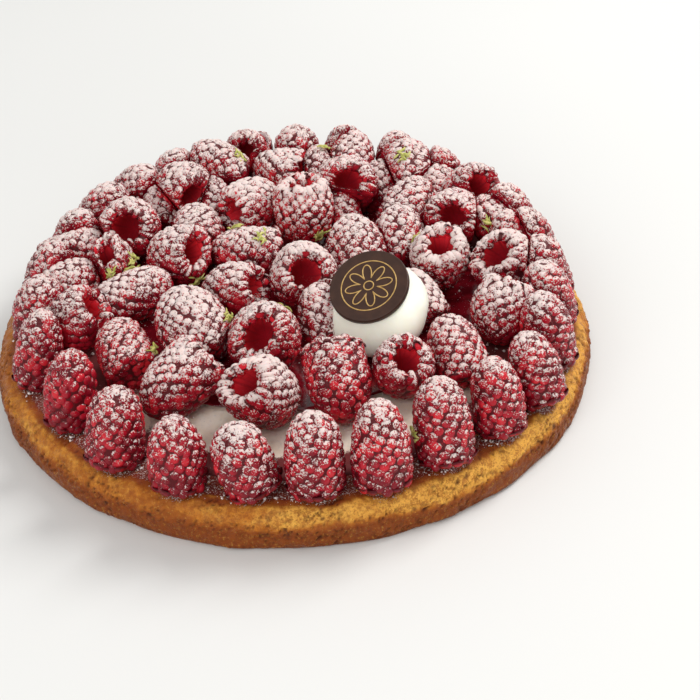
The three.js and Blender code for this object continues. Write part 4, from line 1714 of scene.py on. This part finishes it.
@dataclass
class BerryBed:
    """All the raspberries, pressed against each other and dusted from above.

    Attributes:
        plan: The tart's sizes.
        press: How far two berries stand back from the plane where they meet, in mm.
        sky_pitch: How steeply sugar falls from round about, in degrees.
        sky_reach: How far apart in mm two berries still shade each other.
        shade: How large a berry is as a shade, as a share of its size squared.
        shade_start: How far off its own skin in mm a place is looked at.
        dust: Sugar on a level place under open sky.
        slope_dust: How much more lies on what rises toward the sky.
        shade_dust: How much less lies in the shade of others.
        hollow_dust: How much less lies inside a mouth.
        near: How far from a berry's middle its clearance is worked out, in mm.
        far: Clearance in mm where no berry is near.
        berries: The berries by name.
    """

    plan: TartPlan
    press: float = 0.05
    sky_pitch: float = 62
    sky_reach: float = 48
    shade: float = 0.88
    shade_start: float = 0.4
    dust: float = -0.2
    slope_dust: float = 0.28
    shade_dust: float = 0.75
    hollow_dust: float = 0.6
    near: float = 30.0
    far: float = 50.0
    berries: dict[str, Berry] = field(default_factory=dict)

    def __post_init__(self) -> None:
        """Lays the berries and finds where they press together."""
        for ring, rows in (("rim", RIM_BERRIES), ("outer", OUTER_BERRIES), ("inner", INNER_BERRIES)):
            for index, row in enumerate(rows, start=1):
                name = f"{ring}_{index:02d}"
                self.berries[name] = Berry(name, row, self.plan)
        for first, second in itertools.combinations(self.berries.values(), 2):
            self._press(first, second)

    def _press(self, first: Berry, second: Berry) -> None:
        """Flattens two berries against each other where they would overlap.

        Args:
            first: One berry.
            second: The other.
        """
        between = second.middle - first.middle
        distance = float(np.linalg.norm(between))
        direction = between / distance
        near = first.support(direction)
        far = distance - second.support(direction)
        if near > far:
            level = float(first.middle @ direction) + (near + far) / 2
            first.planes.append((direction, level - self.press))
            second.planes.append((-direction, -level - self.press))

    def _sky(self, berry: Berry, points: Array, outward: Array) -> Array:
        """Finds how much falling sugar gets past the other berries.

        Args:
            berry: The berry that it falls on.
            points: Places on it.
            outward: Directions from its middle to them.

        Returns:
            The share that reaches each place, from 0 to 1.
        """
        rays = [direction_of(0, 90)]
        rays += [direction_of(heading, self.sky_pitch) for heading in range(0, 360, 60)]
        start = points + outward * self.shade_start
        total = np.zeros(len(points))
        others = [other for other in self.berries.values() if other is not berry]
        others = [other for other in others if np.linalg.norm(other.middle - berry.middle) < self.sky_reach]
        for ray in rays:
            free = np.ones(len(points), dtype=bool)
            for other in others:
                origin = (start - other.middle) @ other.squeeze
                way = ray @ other.squeeze
                a = way @ way
                b = origin @ way
                c = (origin**2).sum(axis=1) - self.shade
                hit = (b * b - a * c > 0) & (-b + np.sqrt(np.maximum(b * b - a * c, 0)) > 0)
                free &= ~hit
            total += free
        return total / len(rays)

    def clearance(self, points: Array) -> Array:
        """Finds about how far each point is from the nearest berry.

        Args:
            points: Places in mm, one row each.

        Returns:
            One distance in mm for each place.
        """
        nearest = np.full(len(points), self.far)
        for berry in self.berries.values():
            apart = points - berry.middle
            close = np.abs(apart).max(axis=1) < self.near
            reach = (np.linalg.norm(apart[close] @ berry.squeeze, axis=1) - 1) * berry.width / 2
            nearest[close] = np.minimum(nearest[close], reach)
        return nearest

    def _dusted(self, berry: Berry, points: Array, carried: Traits) -> Traits:
        """Turns a berry's rise and its open sky into its share of icing sugar.

        Args:
            berry: The berry.
            points: Its points.
            carried: What it carries at them.

        Returns:
            What its mesh carries.
        """
        outward = points - berry.middle
        outward /= lengths_of(outward)
        sugar = EXTRA_DUST.get(berry.name, 0.0) + self.dust + self.slope_dust * carried["rise"]
        sugar -= self.shade_dust * (1 - self._sky(berry, points, outward))
        sugar -= self.hollow_dust * carried["inside"]
        kept = {name: carried[name] for name in ("crest", "inside", "deep", "rib")}
        return {**kept, "sugar": sugar, "tone_and_foot_shade": carried["tone_and_foot_shade"] + BRIGHTER.get(berry.name, 0.0)}

    def build(self) -> None:
        """Makes one piece for each solid of berries."""
        material = BerryFinish().make()
        owner = {name: names[0] for names in PRESSED_TOGETHER for name in names}
        groups: dict[str, list[Berry]] = {}
        for name, berry in self.berries.items():
            groups.setdefault(owner.get(name, name), []).append(berry)
        for index, (lead, members) in enumerate(groups.items()):
            random = np.random.default_rng(SEED + index)
            forms, traits = [], []
            for berry in members:
                form, carried = berry.form(random)
                forms.append(form)
                traits.append(self._dusted(berry, form[0], carried))
            merged = {name: np.concatenate([carried[name] for carried in traits]) for name in traits[0]}
            solid = f"raspberry_{lead}"
            add_piece(f"berry_{lead}", joined(forms), material, [solid], merged)


@dataclass
class Dollop:
    """The dollop of whipped cream. Lengths are in mm.

    Attributes:
        plan: The tart's sizes.
        place: Where it lies.
        radius: Its radius.
        height: How far its top stands above its widest part.
        middle: Height of its widest part.
        slope: How steeply its widest part leans.
        high_side: Heading in degrees of its higher side.
        sides: How many points go round it.
        finish: Its finish.
    """

    plan: TartPlan
    place: Pair = (27.8, -19)
    radius: float = 17.3
    height: float = 11
    middle: float = 29
    slope: float = 0.3
    high_side: float = 55
    sides: int = 120
    finish: CreamFinish = CreamFinish("whipped cream", (0.955, 0.985, 0.85, 1), (0.93, 0.95, 0.8, 1), -0.3)

    def build(self) -> None:
        """Makes the dollop."""
        angles = circle(self.sides)
        # The rings of points lie from below its widest part to just short of its top.
        lifts = np.radians(np.concatenate([np.linspace(-66, 0, 14), np.linspace(5, 88, 18)]))
        wobble = round_noise((2, 3, 5), SEED + 60)(angles)
        bottom = float(self.plan.seat_height(np.array(self.place[0]), np.array(self.place[1])))
        radii, heights = [], []
        for lift in lifts:
            reach = self.radius * math.cos(lift) ** 0.8 * (1 + 0.035 * wobble)
            middle = self.middle + self.slope * reach * np.cos(angles - math.radians(self.high_side))
            rise = self.height * math.sin(lift) if lift > 0 else (middle - bottom) * math.sin(lift)
            radii.append(reach)
            heights.append(np.maximum(middle + rise, bottom))
        points, faces = turned_skin(np.array(radii), np.array(heights), angles)
        points[:, :2] += self.place
        # Its foot stays level, and it is uneven above that.
        free = smooth_step(bottom + 0.5, bottom + 3, points[:, 2])
        points += uneven(points, SEED + 61, 7.0, 0.5) * free[:, None]
        add_piece("dollop", (points, faces), self.finish.make(), ["cream_dollop"])


@dataclass
class ChocolateDisc:
    """The chocolate disc, with a plain gold rosette on its face. Lengths are in mm.

    Attributes:
        centre: Its middle.
        radius: Its radius.
        thickness: Its thickness.
        tilt: How far it leans from level, in degrees.
        heading: Where it leans to, in degrees.
        face_depth: How far its face lies below its raised edge.
        line: Half the rosette's line, from its middle to its foot, and its height.
        petals: Least radius of the rosette's petals, and how much longer they grow.
        petal_count: How many petals it has.
        rings: Radii of the rings round it and in its middle.
        sides: How many points go round the disc.
        line_sides: How many points go round the petals' line and the outer ring.
    """

    centre: Place = (25.4, -19.5, 40)
    radius: float = 13.8
    thickness: float = 2.2
    tilt: float = 27
    heading: float = 235
    face_depth: float = 0.06
    line: Pair = (0.23, 0.09)
    petals: Pair = (3.0, 5.2)
    petal_count: int = 8
    rings: Pair = (9.6, 1.7)
    sides: int = 160
    line_sides: int = 480

    def _placed(self, points: Array) -> Array:
        """Points of the level disc, carried to its leaning place."""
        turn = turn_toward(direction_of(self.heading, 90 - self.tilt))
        return points @ turn.T + np.array(self.centre)

    def _ribbon(self, path: Array, level: float) -> Form:
        """Draws a thin raised line along a closed path.

        Args:
            path: Places along it, two numbers each.
            level: Height of its foot.

        Returns:
            The line's form.
        """
        ahead = np.roll(path, -1, axis=0) - np.roll(path, 1, axis=0)
        ahead /= lengths_of(ahead)
        side = np.stack([-ahead[:, 1], ahead[:, 0]], axis=1)
        half, rise = self.line
        count = len(path)
        rows = []
        faces: list[Face] = []
        offsets = ((-half, 0.0), (-half * 0.6, rise), (half * 0.6, rise), (half, 0.0))
        for row, (across, up) in enumerate(offsets):
            rows.append(np.column_stack([path + side * across, np.full(count, level + up)]))
            following = (row + 1) % len(offsets)
            faces += turned_over(faces_between(row * count, following * count, count))
        return np.concatenate(rows), faces

    def _disc(self) -> None:
        """Makes the disc, with a low raised edge."""
        half = self.thickness / 2
        face = half - self.face_depth
        radius = self.radius
        section = [
            (radius * 0.5, -half),
            (radius - 0.5, -half),
            (radius - 0.12, -half + 0.15),
            (radius, -half + 0.5),
            (radius, half - 0.45),
            (radius - 0.1, half - 0.15),
            (radius - 0.3, half),
            (radius - 0.55, face),
            (radius * 0.9, face),
            (radius * 0.5, face),
            (0.4, face),
        ]
        points, faces = turned_section(section, circle(self.sides))
        form = (self._placed(points), faces)
        add_piece("disc", form, ChocolateFinish().make(), ["chocolate_disc"])

    def _rosette(self) -> None:
        """Makes the rosette: one line round all the petals, and two rings."""
        turn = circle(self.line_sides)
        short, longer = self.petals
        reach = short + longer * np.abs(np.cos(self.petal_count / 2 * turn)) ** 0.9
        outlines = ((reach, turn), (self.rings[0], turn), (self.rings[1], turn[::4]))
        paths = [np.column_stack([radius * np.cos(at), radius * np.sin(at)]) for radius, at in outlines]
        points, faces = joined([self._ribbon(path, self.thickness / 2 - 0.08) for path in paths])
        gold = PlainFinish("gold ink", (0.5, 0.3, 0.09, 1), (0.66, 0.43, 0.15, 1), 1.5, 0.36, 0.3)
        add_piece("rosette", (self._placed(points), faces), gold.make())

    def build(self) -> None:
        """Makes the disc and its rosette."""
        self._disc()
        self._rosette()


@dataclass
class Zest:
    """Tufts of finely grated zest on the berries. Lengths are in mm.

    Attributes:
        bed: The berries.
        shreds: How many shreds a tuft has.
        length: Length of a shred.
        width: Width of a shred.
        thickness: Thickness of a shred.
        steps: How many points lie along a shred.
        spread: How far the shreds lie from the middle of their tuft.
        sink: How deep they are set into the berry.
    """

    bed: BerryBed
    shreds: int = 10
    length: float = 3.5
    width: float = 0.85
    thickness: float = 0.32
    steps: int = 8
    spread: float = 1.3
    sink: float = 0.3

    def _shred(self, random: np.random.Generator) -> Form:
        """Makes one short bent shred that lies across its own origin.

        Args:
            random: Source of its size and bend.

        Returns:
            Its form.
        """
        steps = self.steps
        share = np.linspace(-1, 1, steps)
        length = self.length * random.uniform(0.6, 1.2)
        bend = random.uniform(-0.9, 0.9)
        lift = random.uniform(0.3, 1.0)
        path = np.stack([share * length / 2, bend * share**2, lift * (1 - share**2) + 0.25], axis=1)
        width = self.width * (1 - 0.7 * share**2) * random.uniform(0.7, 1.2)
        twist = random.uniform(-0.8, 0.8) * share
        half = self.thickness / 2
        rows = []
        faces: list[Face] = []
        for row, (across, up) in enumerate(((-0.5, -half), (0.5, -half), (0.5, half), (-0.5, half))):
            aside = across * width
            offset = np.stack([0 * share, aside * np.cos(twist), up + aside * np.sin(twist)], axis=1)
            rows.append(path + offset)
            faces += faces_between(row * steps, (row + 1) % 4 * steps, steps, is_closed=False)
        starts = (0, steps, 2 * steps, 3 * steps)
        faces.append(starts)
        faces.append(tuple(start + steps - 1 for start in reversed(starts)))
        return np.concatenate(rows), faces

    def build(self) -> None:
        """Makes every tuft as one piece."""
        random = np.random.default_rng(SEED + 70)
        forms = []
        for name, heading, pitch in ZEST_TUFTS:
            toward = direction_of(heading, pitch)
            place = self.bed.berries[name].surface(toward)
            upright = turn_toward(toward)
            for _ in range(self.shreds):
                points, faces = self._shred(random)
                spin = random.uniform(0, 2 * math.pi)
                ahead = (math.cos(spin), -math.sin(spin), 0)
                aside = (math.sin(spin), math.cos(spin), 0)
                turn = np.array([ahead, aside, (0, 0, 1)])
                shift = np.array([random.normal(0, self.spread), random.normal(0, self.spread), -self.sink])
                forms.append(((points @ turn.T + shift) @ upright.T + place, faces))
        lime = PlainFinish("lime zest", (0.4, 0.44, 0.08, 1), (0.68, 0.62, 0.22, 1), 1.2, 0.6)
        add_piece("zest", joined(forms), lime.make())


@dataclass
class Crumbs:
    """Loose icing sugar and pastry crumbs on the rim, the cream and the coulis. Lengths are in mm.

    Attributes:
        plan: The tart's sizes.
        bed: The berries that they lie beside.
        sugar: Count, sizes, seed and radii of the sugar on the rim and inside it, fine and in clumps.
        crumbs: Count, sizes, seed and radii of the crumbs.
        tries: How many places are tried for each lump that is wanted.
    """

    plan: TartPlan
    bed: BerryBed
    sugar: tuple[Scatter, ...] = (
        (2600, (0.3, 0.9), SEED + 90, (87.2, 99.5)),
        (1300, (0.25, 0.7), SEED + 91, (20, 87)),
        (380, (0.8, 1.8), SEED + 93, (90, 99.5)),
        (380, (0.8, 1.8), SEED + 94, (20, 86)),
    )
    crumbs: Scatter = (260, (0.5, 1.3), SEED + 92, (88.5, 97))
    tries: int = 8

    def _lump(self, size: float, random: np.random.Generator) -> Form:
        """Makes a small uneven lump.

        Args:
            size: Its size.
            random: Source of its unevenness.

        Returns:
            Its form.
        """
        corners = [(1, 0, 0), (-1, 0, 0), (0, 1, 0), (0, -1, 0), (0, 0, 1), (0, 0, -1)]
        points = np.array(corners, dtype=float) * random.uniform(0.55, 1.0, (6, 1)) * size / 2
        points += random.normal(0, 0.12 * size, points.shape)
        faces = [(4, 0, 2), (4, 2, 1), (4, 1, 3), (4, 3, 0), (5, 2, 0), (5, 1, 2), (5, 3, 1), (5, 0, 3)]
        return points, faces

    def _scattered(self, count: int, sizes: Pair, seed: int, spread: Pair) -> Form:
        """Lays lumps beside the berries, between two radii.

        Args:
            count: How many.
            sizes: Smallest and largest size.
            seed: Seed of their places.
            spread: Smallest and largest radius.

        Returns:
            All the lumps as one form.
        """
        plan = self.plan
        random = np.random.default_rng(seed)
        radius = random.uniform(*spread, count * self.tries)
        angle = random.uniform(0, 2 * math.pi, count * self.tries)
        radius = radius * (1 + plan.out_of_round(angle))
        x = radius * np.cos(angle)
        y = radius * np.sin(angle)
        distance = np.hypot(x, y)
        rim = plan.base_height - 0.3 * np.maximum(0, distance - plan.base_radius + 7.4)
        inside = plan.seat_height(x, y) - plan.touch_gap - 0.1
        places = np.column_stack([x, y, np.where(distance > plan.well_radius, rim, inside)])
        drift = 1.5 * Grain(seed, 7.0).smooth(places)
        gap = self.bed.clearance(places) - drift
        free = (gap > 0.6) & (gap < random.uniform(0.6, 5.5, count * self.tries))
        forms = []
        for place in places[free][:count]:
            size = random.uniform(*sizes)
            points, faces = self._lump(size, random)
            forms.append((points + place + [0, 0, 0.2 * size], faces))
        return joined(forms)

    def build(self) -> None:
        """Makes the loose sugar and the crumbs, one piece each."""
        white = PlainFinish("icing sugar", (0.84, 0.7, 0.66, 1), (0.92, 0.86, 0.82, 1), 0.5, 0.8)
        gold = PlainFinish("pastry crumb", (0.6, 0.3, 0.08, 1), (0.42, 0.17, 0.04, 1), 0.7, 0.75)
        sugar = joined([self._scattered(*row) for row in self.sugar])
        add_piece("loose_sugar", sugar, white.make())
        add_piece("crumbs", self._scattered(*self.crumbs), gold.make())


@dataclass
class Studio:
    """The plain floor, the soft lights and the camera.

    Attributes:
        distance: From the camera to what it faces, in mm.
        elevation: How steeply it looks down, in degrees.
        roll: How far it is turned about its own axis, in degrees.
        focal_pixels: Its focal length in pixels of the photograph.
        frame_pixels: Width of the photograph in pixels.
        sensor: Width of its sensor in mm.
        target: What it faces, in mm.
        floor_side: Half the floor's side in metres.
        room: Strength of the light from all round.
        lamps: Name, place and size in metres, power in watts and warmth of each lamp.
    """

    distance: float = 720
    elevation: float = 36.502
    roll: float = -3.032
    focal_pixels: float = 2030.4
    frame_pixels: float = 700
    sensor: float = 36
    target: Place = (17.76, -0.33, 0)
    floor_side: float = 3.0
    room: float = 0.6
    lamps: tuple[Lamp, ...] = (
        ("window", (0.75, 0.45, 0.95), 0.6, 12, 0.02),
        ("fill", (-0.35, -1.0, 0.75), 0.9, 7, 0.0),
    )

    def _camera(self) -> None:
        """Makes the camera at the photograph's place."""
        elevation = math.radians(self.elevation)
        roll = math.radians(self.roll)
        back = Vector((0, -math.cos(elevation), math.sin(elevation)))
        right = Vector((1, 0, 0))
        up = right.cross(-back)
        rolled_right = math.cos(roll) * right + math.sin(roll) * up
        rolled_up = -math.sin(roll) * right + math.cos(roll) * up
        data = bpy.data.cameras.new("camera")
        data.sensor_width = self.sensor
        data.lens = self.focal_pixels / self.frame_pixels * self.sensor
        data.clip_start = 0.01
        data.clip_end = 20
        camera = linked("camera", data)
        place = (Vector(self.target) + back * self.distance) * MM
        axes = Matrix((rolled_right, rolled_up, back)).transposed().to_4x4()
        camera.matrix_world = Matrix.Translation(place) @ axes
        bpy.context.scene.camera = camera

    def _lamp(self, name: str, place: Sequence[float], size: float, power: float, warmth: float) -> None:
        """Makes a soft square lamp that faces the tart.

        Args:
            name: Its name.
            place: Where it hangs, in metres.
            size: Its side in metres.
            power: Its power in watts.
            warmth: How warm its light is, from 0 to 1.
        """
        data = bpy.data.lights.new(name, "AREA")
        data.shape = "SQUARE"
        data.size = size
        data.energy = power
        data.color = (1.0, 1.0 - 0.5 * warmth, 1.0 - warmth)
        lamp = linked(name, data)
        lamp.location = place
        lamp.rotation_mode = "QUATERNION"
        middle = Vector((0, 0, 0.02))
        lamp.rotation_quaternion = (Vector(place) - middle).to_track_quat("Z", "Y")

    def _floor(self) -> None:
        """Makes the floor, which is only stage."""
        side = self.floor_side
        corners = [(-side, -side, 0), (side, -side, 0), (side, side, 0), (-side, side, 0)]
        mesh = bpy.data.meshes.new("floor")
        mesh.from_pydata(corners, [], [(0, 1, 2, 3)])
        floor = linked("floor", mesh)
        pale = PlainFinish("pale floor", (0.72, 0.72, 0.7, 1), (0.74, 0.74, 0.72, 1), 400, 0.5)
        mesh.materials.append(pale.make())

    def build(self) -> None:
        """Makes the floor, the lights and the view."""
        bpy.context.scene.view_settings.view_transform = "Standard"
        self._floor()
        world = bpy.data.worlds.new("soft room")
        world.use_nodes = True
        background = world.node_tree.nodes["Background"].inputs
        background["Color"].default_value = (1, 1, 1, 1)
        background["Strength"].default_value = self.room
        bpy.context.scene.world = world
        for lamp in self.lamps:
            self._lamp(*lamp)
        self._camera()


def main() -> None:
    """Builds the tart's pieces in order."""
    logging.basicConfig(level=logging.INFO, format="%(message)s")
    plan = TartPlan()
    bed = BerryBed(plan)
    parts = (
        Studio(),
        Crust(plan, bed),
        Filling(plan, bed),
        bed,
        Dollop(plan),
        ChocolateDisc(),
        Zest(bed),
        Crumbs(plan, bed),
    )
    for part in parts:
        part.build()


if __name__ == "__main__":
    main()
